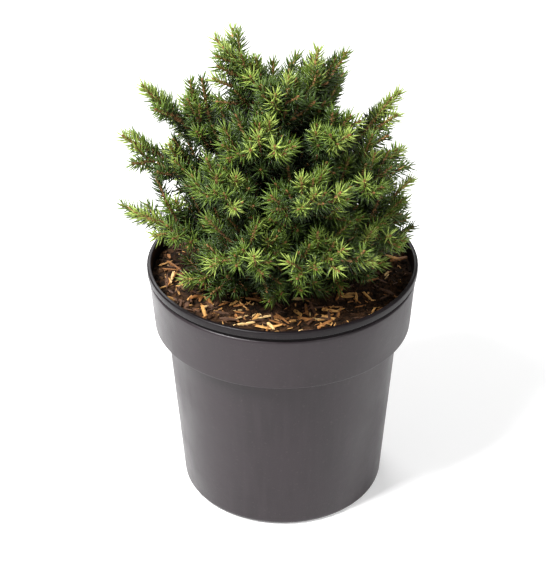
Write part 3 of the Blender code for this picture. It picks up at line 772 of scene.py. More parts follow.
def crown_limbs():
    """Every limb of the crown, tier by tier, and the leader on the trunk's tip."""
    rng = random.Random(SEED)
    limbs = []
    for tier, count, first, step, leave, reach, height, sprays, spray_length in TIERS:
        for i in range(count):
            azimuth = math.radians(first + step * i + rng.uniform(-1, 1) * AZIMUTH_JITTER)
            tip_reach = reach * (1 + rng.uniform(-1, 1) * REACH_JITTER)
            tip_height = height + rng.uniform(-1, 1) * HEIGHT_JITTER
            tip_reach, tip_height = LONG_ARMS.get((tier, i + 1), (tip_reach, tip_height))
            start = leave + (i % 3 - 1) * BOUGH_STAGGER
            out = Vector((math.cos(azimuth), math.sin(azimuth), 0.0))
            centre = trunk_point(start)
            tip = out * tip_reach + Vector((0.0, 0.0, tip_height))
            aim = tip - centre
            level = Vector((aim.x, aim.y, 0.0))
            out = level.normalized()
            rise = (tip_height - start) * BOUGH_RISE
            control = centre + level * BOUGH_CONTROL + Vector((0.0, 0.0, rise))
            slope = math.atan2(rise, level.length * BOUGH_CONTROL)
            clear = trunk_radius(start) + GAP + BOUGH_RADIUS * math.sin(slope)
            points = (centre + out * clear, control, tip)
            limbs.append(Limb(f"{tier}_{i + 1}", points, BOUGH_SHARE, sprays, spray_length))
    top = trunk_point(TRUNK_TOP)
    lean = (top - trunk_point(TRUNK_TOP - 0.01)).normalized()
    root = top + lean * GAP
    middle = root + lean * (LEADER_TIP - root).length * LEADER_CONTROL
    limbs.append(Limb("leader", (root, middle, LEADER_TIP), 0.0, LEADER_SPRAYS, LEADER_SPRAY_LENGTH))
    return limbs


def bough_line(limb):
    """Points and radii of a bough."""
    shares = [limb.share * i / (BOUGH_RINGS - 1) for i in range(BOUGH_RINGS)]
    step = (BOUGH_TIP_RADIUS - BOUGH_RADIUS) / (BOUGH_RINGS - 1)
    return [limb.at(s) for s in shares], [BOUGH_RADIUS + step * i for i in range(BOUGH_RINGS)]


class Space:
    """The room that each mass may fill: nearer to its own heart than to another's,
    above the peat and the lip, and clear of the trunk and the boughs."""

    def __init__(self, limbs):
        self.hearts = np.array([limb.heart() for limb in limbs])
        starts, ends, widths = [], [], []
        heights = np.linspace(TRUNK_FOOT, TRUNK_TOP, TRUNK_RINGS)
        lines = [([trunk_point(h) for h in heights], [trunk_radius(h) for h in heights])]
        lines += [bough_line(limb) for limb in limbs if limb.share > 0]
        for points, radii in lines:
            starts += points[:-1]
            ends += points[1:]
            widths += radii[:-1]
        self.starts = np.array(starts)
        self.runs = np.array(ends) - self.starts
        self.widths = np.array(widths)

    def room(self, place, owner):
        """Distance from a place to the border of the owner's space."""
        place = np.array(place)
        others = np.delete(self.hearts, owner, axis=0)
        own = self.hearts[owner]
        away = ((others - place) ** 2).sum(1) - ((own - place) ** 2).sum()
        border = (away / (2 * np.linalg.norm(others - own, axis=1))).min()
        over_lip = math.hypot(place[0], place[1]) > LIP_INNER_REACH
        ground = POT_TOP + LIP_MARGIN if over_lip else SOIL_HEIGHT + PEAT_MARGIN
        return min(border, place[2] - ground)

    def limb_room(self, place):
        """Distance from a place to the nearest limb's surface."""
        offset = np.array(place) - self.starts
        share = (offset * self.runs).sum(1) / (self.runs ** 2).sum(1)
        nearest = offset - self.runs * np.clip(share, 0.0, 1.0)[:, None]
        return (np.linalg.norm(nearest, axis=1) - self.widths).min()

    def free_length(self, start, direction, length, owner, margin, limb_margin):
        """How far along a direction the owner's space is free, up to a length."""
        for i in range(1, PROBE_STEPS + 1):
            place = start + direction * (length * i / PROBE_STEPS)
            if self.room(place, owner) < margin or self.limb_room(place) < limb_margin:
                return length * (i - 1) / PROBE_STEPS
        return length


class Twig:
    """One twig: its line, its girth, how its needles stand and how bright they are."""

    def __init__(self, points, girth, order, owner, opening=(72.0, 38.0), bare=0.5):
        self.points = points
        self.girth = girth
        self.order = order
        self.owner = owner
        self.opening = opening
        self.bare = bare

    def length(self):
        """Length of the twig's line."""
        return sum((b - a).length for a, b in zip(self.points, self.points[1:]))

    def at(self, share):
        """Point on the twig's line."""
        place = share * (len(self.points) - 1)
        index = min(int(place), len(self.points) - 2)
        return self.points[index].lerp(self.points[index + 1], place - index)

    def along(self, share):
        """Direction of the twig's line."""
        index = min(int(share * (len(self.points) - 1)), len(self.points) - 2)
        return (self.points[index + 1] - self.points[index]).normalized()

    def run(self, start, end):
        """The part of the twig between two shares, with its girth and its needles' stand."""
        steps = len(self.points) - 1
        low = round(start * steps)
        high = max(low + 1, round(end * steps))
        shares = [i / steps for i in range(low, high + 1)]
        girth = [self.girth[0] + (self.girth[1] - self.girth[0]) * s for s in shares]
        wide, close = self.opening
        opening = [math.radians(wide + (close - wide) * s ** 2.6) for s in shares]
        needle = [0.80 + 0.26 * math.sin(math.pi * min(1.0, s * 0.9 + 0.12)) for s in shares]
        fullness = [self.bare + (1.0 - self.bare) * min(1.0, s / 0.6) ** 1.3 for s in shares]
        return {"points": self.points[low:high + 1], "girth": girth, "opening": opening,
                "needle": needle, "fullness": fullness}


def side_frame(forward):
    """Directions across a twig and over it."""
    across = forward.cross(Vector((0.0, 0.0, 1.0)))
    across = across.normalized() if across.length > 0.1 else Vector((1.0, 0.0, 0.0))
    return across, across.cross(forward).normalized()


def bent_line(start, direction, length, bend):
    """Points of a twig that sets off in a direction and turns up a little."""
    count = max(3, math.ceil(length / FINE_STEP))
    points = []
    for i in range(count + 1):
        part = i / count
        reach = length * part * (1 - SIDE_SHORTENING * part)
        points.append(start + direction * reach + bend * part * part)
    return points


def side_twig(limb, index, owner, space, rng):
    """A side twig that springs from the mass's stem, or nothing where it has no room."""
    share = SIDE_FROM + (SIDE_TO - SIDE_FROM) * index / max(1, limb.sprays - 1)
    share = limb.share + (1.0 - limb.share) * share
    start = limb.at(share)
    forward = limb.along(share)
    across, over = side_frame(forward)
    lean = math.radians(SIDE_OPEN * (1 + rng.uniform(-1, 1) * SIDE_OPEN_JITTER))
    wanted = limb.spray_length * (1 + rng.uniform(-1, 1) * SIDE_LENGTH_JITTER)
    turn = SIDE_TURNS[index % len(SIDE_TURNS)] + rng.uniform(-1, 1) * SIDE_TURN_JITTER
    length = 0.0
    for more in SIDE_TRIES:
        angle = math.radians(turn + more)
        side = across * math.cos(angle) + over * math.sin(angle)
        aim = (forward * math.cos(lean) + side * math.sin(lean)).normalized()
        probe = start + aim * SIDE_SKIP
        free = space.free_length(probe, aim, wanted - SIDE_SKIP, owner, CORE_MARGIN,
                                 CORE_RADIUS + LIMB_MARGIN) + SIDE_SKIP
        if free > length + LONGER_BY:
            length, direction = free, aim
    if length < SHORTEST_SPRAY:
        return None
    bend = (forward + UPWARD_PULL).normalized() * length * SIDE_UPTURN
    return Twig(bent_line(start, direction, length, bend), (0.0013, 0.0009), 1, owner, bare=0.25)


def fine_twig(parent, share, turn, lean, wanted, rise, space):
    """A short twig off another, cut to the room that it has, or nothing."""
    start = parent.at(share)
    forward = parent.along(share)
    across, over = side_frame(forward)
    side = across * math.cos(turn) + over * math.sin(turn)
    aim = (forward * math.cos(lean) + side * math.sin(lean)).normalized()
    away = Vector((start.x, start.y, 0.0)).normalized()
    aim = (aim + UPWARD_PULL * rise + away * 0.25).normalized()
    skip = 0.003
    free = space.free_length(start + aim * skip, aim, wanted - skip, parent.owner, FINE_MARGIN, 0.0012) + skip
    if free < FINE_SHORTEST or in_notch(start + aim * free):
        return None
    bend = (forward * 0.6 + UPWARD_PULL).normalized() * free * 0.14
    return Twig(bent_line(start, aim, free, bend), (0.0010, 0.0008), 2, parent.owner,
                opening=(74.0, 36.0), bare=0.35)


def in_notch(place):
    """Whether a place lies in one of the outline's notches."""
    height = place.z + NOTCH_SLOPE * place.y
    notched = any(low < place.x < high and height > limit for low, high, limit in NOTCHES)
    return notched or any(math.hypot(place.x - x, height - z) < radius for x, z, radius in SKY_SPOTS)


def accent_twigs(limbs):
    """The few twigs that stand out of the crown's outline."""
    owners = {limb.name: index for index, limb in enumerate(limbs)}
    twigs = []
    for name, share, tip in ACCENTS:
        limb = limbs[owners[name]]
        start = limb.at(share)
        path = Vector(tip) - start
        bend = Vector((0.0, 0.0, path.length * 0.10))
        line = bent_line(start, (path - bend).normalized(), (path - bend).length / (1 - SIDE_SHORTENING), bend)
        twigs.append(Twig(line, (0.0013, 0.0009), 1, owners[name], opening=(74.0, 38.0), bare=0.3))
    return twigs


def grow_twigs(limbs, space):
    """Every twig of the crown: the stems and side twigs of the masses, and the finer twigs on them."""
    twigs = []
    for owner, limb in enumerate(limbs):
        rng = random.Random(SEED * 1000 + owner)
        first = limb.share + (GAP / limb.length() if limb.share else 0.0)
        steps = math.ceil(limb.length() * (1.0 - first) / FINE_STEP)
        line = [limb.at(first + (1.0 - first) * i / steps) for i in range(steps + 1)]
        stem = Twig(line, (0.0017, 0.0010), 0, owner, opening=(74.0, 38.0), bare=0.2)
        sides = [side_twig(limb, index, owner, space, rng) for index in range(limb.sprays)]
        sides = [side for side in sides if side and not in_notch(side.points[-1])]
        more = random.Random(SEED * 2000 + owner)
        fine = []
        slender = limb.name in ("waist_1", "shoulder_1", "crest_1")
        reach = 0.50 if slender else 0.84
        for k in range(8):
            share = 0.02 + reach * (k + more.uniform(0.0, 0.8)) / 8
            turn = k * math.pi * (3 - math.sqrt(5)) + more.uniform(-0.3, 0.3)
            wanted = (0.024 - 0.010 * share) * more.uniform(0.8, 1.2)
            rise = 0.5 if k % 2 else 2.2
            fine.append(fine_twig(stem, share, turn, math.radians(more.uniform(42, 60)), wanted, rise, space))
        for side in sides:
            count = 1 if slender else 3
            for k in range(count):
                share = 0.16 + 0.60 * (k + more.uniform(0.0, 0.7)) / count
                turn = (k % 2) * math.pi + more.uniform(-0.7, 0.9)
                wanted = (0.019 - 0.008 * share) * more.uniform(0.75, 1.2)
                rise = 0.4 if k % 2 else 1.8
                fine.append(fine_twig(side, share, turn, math.radians(more.uniform(38, 55)), wanted, rise, space))
        twigs += [stem] + sides + [twig for twig in fine if twig]
    return twigs


def long_twigs(limbs, space):
    """Longer twigs that rise from each limb to the crown's surface, between the masses."""
    twigs = []
    rng = random.Random(SEED * 5)
    for owner, limb in enumerate(limbs):
        for k in range(5):
            share = limb.share * 0.7 + (0.9 - limb.share * 0.7) * (k + rng.random()) / 5
            start = limb.at(share)
            forward = limb.along(share)
            across, over = side_frame(forward)
            side = across * (1 if k % 2 else -1) * rng.uniform(0.25, 0.8)
            aim = (forward * 0.7 + side + Vector((0.0, 0.0, rng.uniform(0.5, 1.3)))).normalized()
            length = rng.uniform(0.030, 0.044)
            while length > 0.014 and exposure(start + aim * length) > OUTER_SHARE:
                length -= 0.002
            end = start + aim * length
            if length < 0.014 or space.limb_room(end) < 0.001 or in_notch(end):
                continue
            bend = Vector((0.0, 0.0, length * 0.14))
            line = bent_line(start, aim, length, bend)
            twigs.append(Twig(line, (0.0013, 0.0009), 2, owner, opening=(74.0, 36.0), bare=0.3))
    return twigs


def inner_twigs(limbs, space):
    """Short old twigs on the boughs and the trunk, deep in the crown."""
    twigs = []
    rng = random.Random(SEED * 7)
    for owner, limb in enumerate(limbs):
        if not limb.share:
            continue
        line = [limb.at(limb.share * i / 12) for i in range(13)]
        bough = Twig(line, (BOUGH_RADIUS, BOUGH_TIP_RADIUS), 3, owner)
        for k in range(7):
            share = 0.12 + 0.85 * (k + rng.random()) / 7
            turn = k * math.pi * (3 - math.sqrt(5)) + rng.uniform(-0.4, 0.4)
            start = bough.at(share)
            forward = bough.along(share)
            across, over = side_frame(forward)
            side = across * math.cos(turn) + over * math.sin(turn)
            lean = math.radians(rng.uniform(45, 70))
            aim = (forward * math.cos(lean) + side * math.sin(lean)).normalized()
            aim = (aim + UPWARD_PULL).normalized()
            length = rng.uniform(0.014, 0.026)
            end = start + aim * length
            if end.z < SOIL_HEIGHT + 0.006 or space.limb_room(end) < 0.001 or in_notch(end):
                continue
            bend = Vector((0.0, 0.0, length * 0.12))
            twigs.append(Twig(bent_line(start, aim, length, bend), (0.0010, 0.0008), 3, owner))
    for k in range(34):
        height = TRUNK_FOOT + 0.014 + (TRUNK_TOP - TRUNK_FOOT - 0.02) * (k + rng.random()) / 34
        turn = k * math.pi * (3 - math.sqrt(5))
        aim = Vector((math.cos(turn), math.sin(turn), rng.uniform(0.3, 1.0))).normalized()
        start = trunk_point(height) + aim * trunk_radius(height) * 0.8
        length = rng.uniform(0.018, 0.034)
        if space.limb_room(start + aim * length) > 0.001:
            bend = Vector((0.0, 0.0, length * 0.12))
            twigs.append(Twig(bent_line(start, aim, length, bend), (0.0011, 0.0008), 3, len(limbs) - 1))
    return twigs


def exposure(place):
    """How far out in the crown a place is, from 0 deep inside to 1 at its surface."""
    middle = Vector((-0.008, 0.0, 0.225))
    offset = place - middle
    spread = math.hypot(offset.x / 0.095, offset.y / 0.088)
    rise = offset.z / (0.120 if offset.z > 0 else 0.060)
    return min(1.0, math.hypot(spread, rise))


def tone_runs(twig, rng):
    """The twig's parts with the tone of each: deep near the root, brighter towards the tip; painted shade deep in
    the crown.
    """
    mood = rng.gauss(0.0, 0.65)
    runs = []
    for low, high, lift in ((0.0, 0.34, -1.2), (0.34, 0.68, -0.2), (0.68, 1.0, 0.85)):
        # Depth in the crown sets the tone: needles deep inside darker, painted shade; those at the surface lighter,
        # partly young growth and partly painted light. The lift is the needles' age along the twig.
        open_air = exposure(twig.at((low + high) / 2))
        value = 0.25 + 3.6 * max(0.0, open_air - 0.25) / 0.75 + lift + mood
        # Old twigs deep in the crown keep dark tones: partly their old needles, partly painted shade.
        if twig.order == 3:
            value = 0.3 + mood + 2.0 * max(0.0, open_air - 0.5)
        # Lower in the crown the tones drop: painted shade cast by the crown above.
        value -= 0.9 * min(1.0, max(0.0, (SHADE_TOP - twig.at(high).z) / SHADE_DEPTH))
        tone = min(max(round(value), 0), len(TONE_NAMES) - 1)
        if low >= 0.34 and runs and runs[-1][0] == tone:
            runs[-1][2] = high
        else:
            runs.append([tone, low, high])
    return [(tone, twig.run(low, high)) for tone, low, high in runs]


PLANT = {}


def plant():
    """The limbs and the twigs of the plant, grown when they are first asked for."""
    if not PLANT:
        limbs = crown_limbs()
        space = Space(limbs)
        PLANT["limbs"] = limbs
        PLANT["twigs"] = grow_twigs(limbs, space) + accent_twigs(limbs)
        PLANT["twigs"] += long_twigs(limbs, space) + inner_twigs(limbs, space)
    return PLANT


# Settings


class PotSettings(bpy.types.PropertyGroup):
    """Sizes and finish of the pot."""

    height: FloatProperty(name="Height", description="Height of the pot", default=POT_TOP, unit="LENGTH")
    wall: FloatProperty(name="Wall", description="Thickness of the wall", default=0.0018, unit="LENGTH")
    steps: IntProperty(name="Steps", description="Faces around the pot", default=192)
    colour: FloatVectorProperty(name="Colour", description="Colour of the plastic", subtype="COLOR",
                                default=(0.0195, 0.0138, 0.0165))
    roughness: FloatProperty(name="Roughness", description="Roughness of the plastic", default=0.36)


class PeatSettings(bpy.types.PropertyGroup):
    """Sizes and colours of the peat and the chips on it."""

    height: FloatProperty(name="Height", description="Height of the peat", default=SOIL_HEIGHT, unit="LENGTH")
    lumps: FloatProperty(name="Lumps", description="Height of the lumps", default=0.0016, unit="LENGTH")
    rings: IntProperty(name="Rings", description="Rings of faces on the peat's top", default=84)
    crumbs: IntProperty(name="Crumbs", description="Number of loose crumbs", default=2600)
    chips: IntProperty(name="Chips", description="Number of bark chips", default=660)
    dark: FloatVectorProperty(name="Dark", description="Colour of moist peat", subtype="COLOR",
                              default=(0.010, 0.0055, 0.003))
    light: FloatVectorProperty(name="Light", description="Colour of dry peat", subtype="COLOR",
                               default=(0.060, 0.028, 0.012))


class BarkSettings(bpy.types.PropertyGroup):
    """Sizes and colours of the trunk, the boughs and the twigs."""

    ridge: FloatProperty(name="Ridge depth", description="Depth of the trunk's ridges", default=0.0007,
                         unit="LENGTH")
    dark: FloatVectorProperty(name="Old bark, dark", description="Dark colour of old bark",
                              subtype="COLOR", default=(0.045, 0.027, 0.017))
    light: FloatVectorProperty(name="Old bark, light", description="Light colour of old bark",
                               subtype="COLOR", default=(0.20, 0.12, 0.075))
    twig_dark: FloatVectorProperty(name="Twig, dark", description="Dark colour of the twigs",
                                   subtype="COLOR", default=(0.13, 0.056, 0.020))
    twig_light: FloatVectorProperty(name="Twig, light", description="Light colour of the twigs",
                                    subtype="COLOR", default=(0.44, 0.235, 0.095))


class NeedleSettings(bpy.types.PropertyGroup):
    """Sizes and colours of the needles."""

    length: FloatProperty(name="Length", description="Length of a needle", default=0.0108, unit="LENGTH")
    width: FloatProperty(name="Width", description="Width of a needle", default=0.00098, unit="LENGTH")
    spacing: FloatProperty(name="Spacing", description="Distance from one needle to the next along a twig",
                           default=0.00040, unit="LENGTH")
    # Needle tones, darkest to lightest: the darker ones partly painted shade, the lighter ones partly painted
    # light.
    shade: FloatVectorProperty(name="Shade", description="Innermost needles", subtype="COLOR",
                               default=(0.006, 0.011, 0.002))
    bottle: FloatVectorProperty(name="Bottle", description="Old needles", subtype="COLOR",
                                default=(0.010, 0.020, 0.002))
    deep: FloatVectorProperty(name="Deep", description="Needles halfway out", subtype="COLOR",
                              default=(0.019, 0.036, 0.004))
    leaf: FloatVectorProperty(name="Leaf", description="Outer needles", subtype="COLOR",
                              default=(0.041, 0.072, 0.008))
    spring: FloatVectorProperty(name="Spring", description="Young needles", subtype="COLOR",
                                default=(0.098, 0.152, 0.017))
    lime: FloatVectorProperty(name="Lime", description="Youngest needles", subtype="COLOR",
                              default=(0.245, 0.322, 0.060))


class StageSettings(bpy.types.PropertyGroup):
    """Camera and lights."""

    distance: FloatProperty(name="Distance", description="Camera distance", default=1.10, unit="LENGTH")
    elevation: FloatProperty(name="Elevation", description="Camera height above level",
                             default=math.radians(31.99), subtype="ANGLE")
    target: FloatProperty(name="Target", description="Height the camera looks at", default=0.1572,
                          unit="LENGTH")
    lens: FloatProperty(name="Lens", description="Focal length in millimetres", default=97.17)
    shift: FloatProperty(name="Shift", description="Sideways shift of the lens", default=-0.0166)


SETTINGS = {
    "spruce_pot": PotSettings, "spruce_peat": PeatSettings, "spruce_bark": BarkSettings,
    "spruce_needles": NeedleSettings, "spruce_stage": StageSettings,
}


# The pot


def arc(centre, radius, start, end, steps):
    """Points on an arc in the profile's plane, angles in degrees from +X."""
    angles = [math.radians(start + (end - start) * i / steps) for i in range(steps + 1)]
    return [(centre[0] + radius * math.cos(a), centre[1] + radius * math.sin(a)) for a in angles]


def straight(start, end, steps):
    """Points on a straight run of a profile, without its first one."""
    return [(start[0] + (end[0] - start[0]) * i / steps, start[1] + (end[1] - start[1]) * i / steps)
            for i in range(1, steps + 1)]


def turned(name, profile, steps):
    """A profile of radius and height, turned about the Z axis into a plain mesh object."""
    mesh = bpy.data.meshes.new(name)
    edges = [(i, i + 1) for i in range(len(profile) - 1)]
    mesh.from_pydata([(radius, 0.0, height) for radius, height in profile], edges, [])
    item = new_object(name, mesh)
    screw = item.modifiers.new("turn", "SCREW")
    screw.axis = "Z"
    screw.steps = steps
    screw.render_steps = steps
    screw.use_merge_vertices = True
    screw.merge_threshold = 0.00001
    return baked(item, name)


def pot_outside(height):
    """The pot's outside, from the lip down to the middle of its underside."""
    under_lip = height - LIP_DEPTH
    groove_low = under_lip - GROOVE_HEIGHT
    soft = 0.0004
    points = arc((LIP_RADIUS - LIP_ROUND, height - LIP_ROUND), LIP_ROUND, 90, 0, 8)
    points += arc((LIP_RADIUS - soft, under_lip + soft), soft, 0, -90, 3)
    points += [(LIP_RADIUS - GROOVE_DEPTH, under_lip), (LIP_RADIUS - GROOVE_DEPTH, groove_low)]
    top_round = COLLAR_TOP_ROUND
    points += arc((COLLAR_TOP_RADIUS - top_round, groove_low - top_round), top_round, 85, 0, 8)
    points += straight(points[-1], (COLLAR_LOW_RADIUS, COLLAR_LOW_HEIGHT + COLLAR_ROUND), 8)
    points += arc((COLLAR_LOW_RADIUS - COLLAR_ROUND, COLLAR_LOW_HEIGHT + COLLAR_ROUND), COLLAR_ROUND,
                  -10, -90, 5)
    points += arc((BODY_TOP_RADIUS + soft, COLLAR_LOW_HEIGHT - soft), soft, 90, 180, 3)
    foot = arc((BODY_FOOT_RADIUS - FOOT_ROUND, FOOT_ROUND), FOOT_ROUND, 0, -90, 10)
    points += straight(points[-1], foot[0], 24) + foot[1:]
    ring = foot[-1][0] - FOOT_RING_WIDTH
    points += [(ring, 0.0), (ring - FOOT_RECESS, FOOT_RECESS)]
    points += straight(points[-1], (PAD_RADIUS + FOOT_RECESS, FOOT_RECESS), 6)
    return points + [(PAD_RADIUS, 0.0), (0.0, 0.0)]


def pot_inside(wall, offset):
    """The pot's inside from the floor's middle up to below the lip, moved in by an offset."""
    floor = FOOT_RECESS + FLOOR_THICKNESS + offset
    ledge = COLLAR_LOW_HEIGHT + wall + offset
    inset = wall + offset
    points = [(0.0, floor)]
    points += straight(points[-1], (BODY_FOOT_RADIUS - inset - FOOT_ROUND / 2, floor), 6)
    points += [(BODY_FOOT_RADIUS - inset, floor + FOOT_ROUND / 2)]
    points += straight(points[-1], (BODY_TOP_RADIUS - inset, ledge), 8)
    return points + [(COLLAR_LOW_RADIUS - inset, ledge)]


class SPRUCE_OT_pot(bpy.types.Operator):
    """Build the moulded pot with its lip, groove, collar and drain holes"""

    bl_idname = "spruce.pot"
    bl_label = "Pot"

    def execute(self, context):
        settings = context.scene.spruce_pot
        inner_lip = (LIP_RADIUS - LIP_WIDTH, settings.height - LIP_DEPTH)
        round_lip = arc((inner_lip[0] + LIP_ROUND * 0.7, settings.height - LIP_ROUND * 0.7),
                        LIP_ROUND * 0.7, 180, 90, 5)
        inside = pot_inside(settings.wall, 0.0)
        profile = inside + straight(inside[-1], inner_lip, 6) + round_lip + pot_outside(settings.height)
        blank = turned("pot_blank", profile, settings.steps)
        holes = bmesh.new()
        for i in range(DRAIN_HOLES):
            made = bmesh.ops.create_cone(holes, cap_ends=True, segments=28, depth=0.02,
                                         radius1=DRAIN_HOLE_RADIUS, radius2=DRAIN_HOLE_RADIUS)
            angle = math.tau * (i + 0.5) / DRAIN_HOLES
            place = (DRAIN_CIRCLE_RADIUS * math.cos(angle), DRAIN_CIRCLE_RADIUS * math.sin(angle), 0.0)
            bmesh.ops.translate(holes, verts=made["verts"], vec=place)
        mesh = bpy.data.meshes.new("drain_holes")
        holes.to_mesh(mesh)
        holes.free()
        cutter = new_object("drain_holes", mesh)
        cut = blank.modifiers.new("drain holes", "BOOLEAN")
        cut.operation = "DIFFERENCE"
        cut.solver = "EXACT"
        cut.object = cutter
        pot = baked(blank, "pot_shell")
        drop(cutter)
        smooth(pot, 38)
        pot.data.materials.clear()
        colour = Vector(settings.colour)
        pot.data.materials.append(pot_material("pot_plastic", colour, settings.roughness, 0.30))
        # The lip and the pot's inner wall get the plastic at a third of its colour: painted shade.
        pot.data.materials.append(pot_material("pot_lip_and_inner_wall_painted_shade", colour * 0.35, settings.roughness + 0.02, 0.18))
        # The groove under the lip gets the plastic at a fifth of its colour: painted shade in the recess.
        pot.data.materials.append(pot_material("pot_groove_painted_shade", colour * 0.2, 0.6, 0.06))
        groove_top = settings.height - LIP_DEPTH + 0.0001
        # Faces inside the pot, on the lip and under it take the painted-shade lip plastic.
        for face in pot.data.polygons:
            radius = math.hypot(face.center.x, face.center.y)
            inside = face.normal.x * face.center.x + face.normal.y * face.center.y < -0.2 * radius
            if inside or face.center.z > settings.height - LIP_DEPTH - GROOVE_HEIGHT + 0.0002:
                face.material_index = 1
            # The groove's outer faces take the painted-shade groove plastic.
            if not inside and radius < LIP_RADIUS - GROOVE_DEPTH * 0.4 and abs(
                    face.center.z - groove_top + GROOVE_HEIGHT / 2) < GROOVE_HEIGHT / 2 + 0.0002:
                face.material_index = 2
        seat(pot, ["pot"])
        return {"FINISHED"}


# The peat and what lies on it


def soil_top(x, y):
    """Height of the peat, flat under the trunk's foot and level at the wall."""
    radius = math.hypot(x, y)
    wall = COLLAR_TOP_RADIUS - 0.0018
    fade = min(1.0, max(0.0, (radius - FOOT_FLAT_RADIUS) / FOOT_FLAT_RADIUS))
    fade *= min(1.0, max(0.0, (wall - radius) / FOOT_FLAT_RADIUS))
    wave = math.sin(x * 130 + 1.0) * math.cos(y * 110) + 0.6 * math.sin(x * 70 - y * 190)
    return SOIL_HEIGHT + SOIL_BUMP * fade * wave


def peat_top(x, y, lumps):
    """Height of the peat's top with its lumps and fibres."""
    place = Vector((x, y, 0.0))
    coarse = noise.fractal(place * 170, 1.0, 2.0, 3)
    fine = noise.fractal(place * 620 + Vector((3.0, 1.0, 0.0)), 1.0, 2.0, 2)
    radius = math.hypot(x, y)
    fade = min(1.0, max(0.25, (radius - 0.010) / 0.010))
    return soil_top(x, y) + lumps * fade * (0.55 * coarse + 0.28 * fine)


def collar_inside(height, wall):
    """Radius of the pot's inside at a height within the collar."""
    share = (height - COLLAR_LOW_HEIGHT) / (POT_TOP - LIP_DEPTH - COLLAR_LOW_HEIGHT)
    inside_top = LIP_RADIUS - LIP_WIDTH
    return COLLAR_LOW_RADIUS - wall + (inside_top - COLLAR_LOW_RADIUS + wall) * share


class SPRUCE_OT_peat(bpy.types.Operator):
    """Build the bed of peat with its lumps and loose crumbs"""

    bl_idname = "spruce.peat"
    bl_label = "Peat"

    def execute(self, context):
        settings = context.scene.spruce_peat
        wall = context.scene.spruce_pot.wall
        edge = collar_inside(settings.height, wall) - GAP / math.cos(math.pi / 36)
        profile = [(0.0, settings.height)]
        profile += straight(profile[-1], (edge, settings.height), settings.rings)
        profile += list(reversed(pot_inside(wall, GAP)))
        peat = turned("peat_bed", profile, 264)
        for vertex in peat.data.vertices:
            if abs(vertex.co.z - settings.height) < 1e-6:
                vertex.co.z = peat_top(vertex.co.x, vertex.co.y, settings.lumps)
        smooth(peat, 70)
        peat.data.materials.clear()
        finish = peat_material("moist_peat", settings.dark, settings.light, 0.0008)
        peat.data.materials.append(finish)
        seat(peat, ["soil"])
        self.crumbs(settings, edge)
        return {"FINISHED"}

    def crumbs(self, settings, edge):
        """Loose crumbs of peat, each a small uneven lump."""
        rng = random.Random(SEED + 1)
        places, turns, sizes = [], [], []
        for _ in range(settings.crumbs):
            radius = math.sqrt(rng.uniform(0.010 ** 2, (edge - 0.0015) ** 2))
            angle = rng.uniform(0, math.tau)
            x, y = radius * math.cos(angle), radius * math.sin(angle)
            size = rng.uniform(0.0006, 0.0022) * rng.uniform(0.6, 1.1)
            places.append((x, y, peat_top(x, y, settings.lumps) + size * 0.15))
            turns.append([rng.uniform(0, math.tau) for _ in range(3)])
            sizes.append([size * rng.uniform(0.6, 1.5), size * rng.uniform(0.6, 1.2), size * 0.7])
        shape = bmesh.new()
        bmesh.ops.create_icosphere(shape, subdivisions=1, radius=1.0)
        for vertex in shape.verts:
            vertex.co *= 1.0 + 0.35 * noise.noise(vertex.co * 1.7)
        mesh = bpy.data.meshes.new("crumb")
        shape.to_mesh(mesh)
        shape.free()
        crumb = new_object("crumb", mesh)
        cloud = point_cloud("crumb_points", places, turns, sizes)
        finish = peat_material("peat_crumb", Vector(settings.dark) * 1.3, Vector(settings.light) * 1.2, 0.0004)
        piece = apply_tree(cloud, "peat_crumbs", "Pieces on points", {"Shape": crumb, "Finish": finish})
        drop(crumb)
        seat(piece)


CHIP_TONES = (
    ("amber", (0.34, 0.140, 0.036), 0.26),
    ("honey", (0.58, 0.30, 0.088), 0.24),
    ("straw", (0.76, 0.50, 0.21), 0.09),
    ("umber", (0.085, 0.036, 0.015), 0.38),
)


def chip_shape(rng):
    """A splinter of unit length along X: an uneven slip with ragged ends and a map along its grain."""
    body = bmesh.new()
    layer = body.loops.layers.uv.new("grain")
    sections = 5
    rings = []
    ends = (rng.uniform(0.35, 1.0), rng.uniform(0.35, 1.0))
    for i in range(sections + 1):
        part = i / sections
        edge = ends[0] if part < 0.5 else ends[1]
        taper = rng.uniform(0.82, 1.0) * (edge + (1.0 - edge) * min(1.0, 3 * min(part, 1 - part)))
        centre = Vector((part - 0.5, rng.uniform(-0.012, 0.012), 0.0))
        ring = []
        for across, over in ((-0.5, -0.4), (0.0, -0.5), (0.5, -0.35), (0.45, 0.4), (0.0, 0.5), (-0.5, 0.38)):
            ragged = Vector((rng.uniform(-0.10, 0.10), 0.0, 0.0)) if i in (0, sections) else Vector()
            wide = across * 0.20 * taper * rng.uniform(0.88, 1.1)
            high = over * 0.11 * taper * rng.uniform(0.8, 1.15)
            ring.append(body.verts.new(centre + ragged + Vector((0.0, wide, high))))
        rings.append(ring)
    sides = len(rings[0])
    for i in range(sections):
        for k in range(sides):
            near, far = rings[i], rings[i + 1]
            face = body.faces.new((near[k], far[k], far[(k + 1) % sides], near[(k + 1) % sides]))
            corners = ((i, k), (i + 1, k), (i + 1, k + 1), (i, k + 1))
            for loop, (u, v) in zip(face.loops, corners):
                loop[layer].uv = (u / sections, v / sides)
    body.faces.new(rings[0])
    body.faces.new(list(reversed(rings[-1])))
    bmesh.ops.recalc_face_normals(body, faces=body.faces)
    mesh = bpy.data.meshes.new("chip")
    body.to_mesh(mesh)
    body.free()
    return new_object("chip", mesh)


def chip_places(settings, rng):
    """Where the chips lie: thick at the front and left, thinner at the right and round the stem."""
    made = []
    while len(made) < settings.chips:
        radius = math.sqrt(rng.uniform(0.016 ** 2, 0.0865 ** 2))
        angle = rng.uniform(0, math.tau)
        x, y = radius * math.cos(angle), radius * math.sin(angle)
        lean = math.cos(angle - math.radians(235))
        chance = 0.62 + 0.38 * lean
        chance *= 0.35 + 0.65 * min(1.0, radius / 0.06)
        if rng.random() < chance:
            made.append((x, y))
    return made


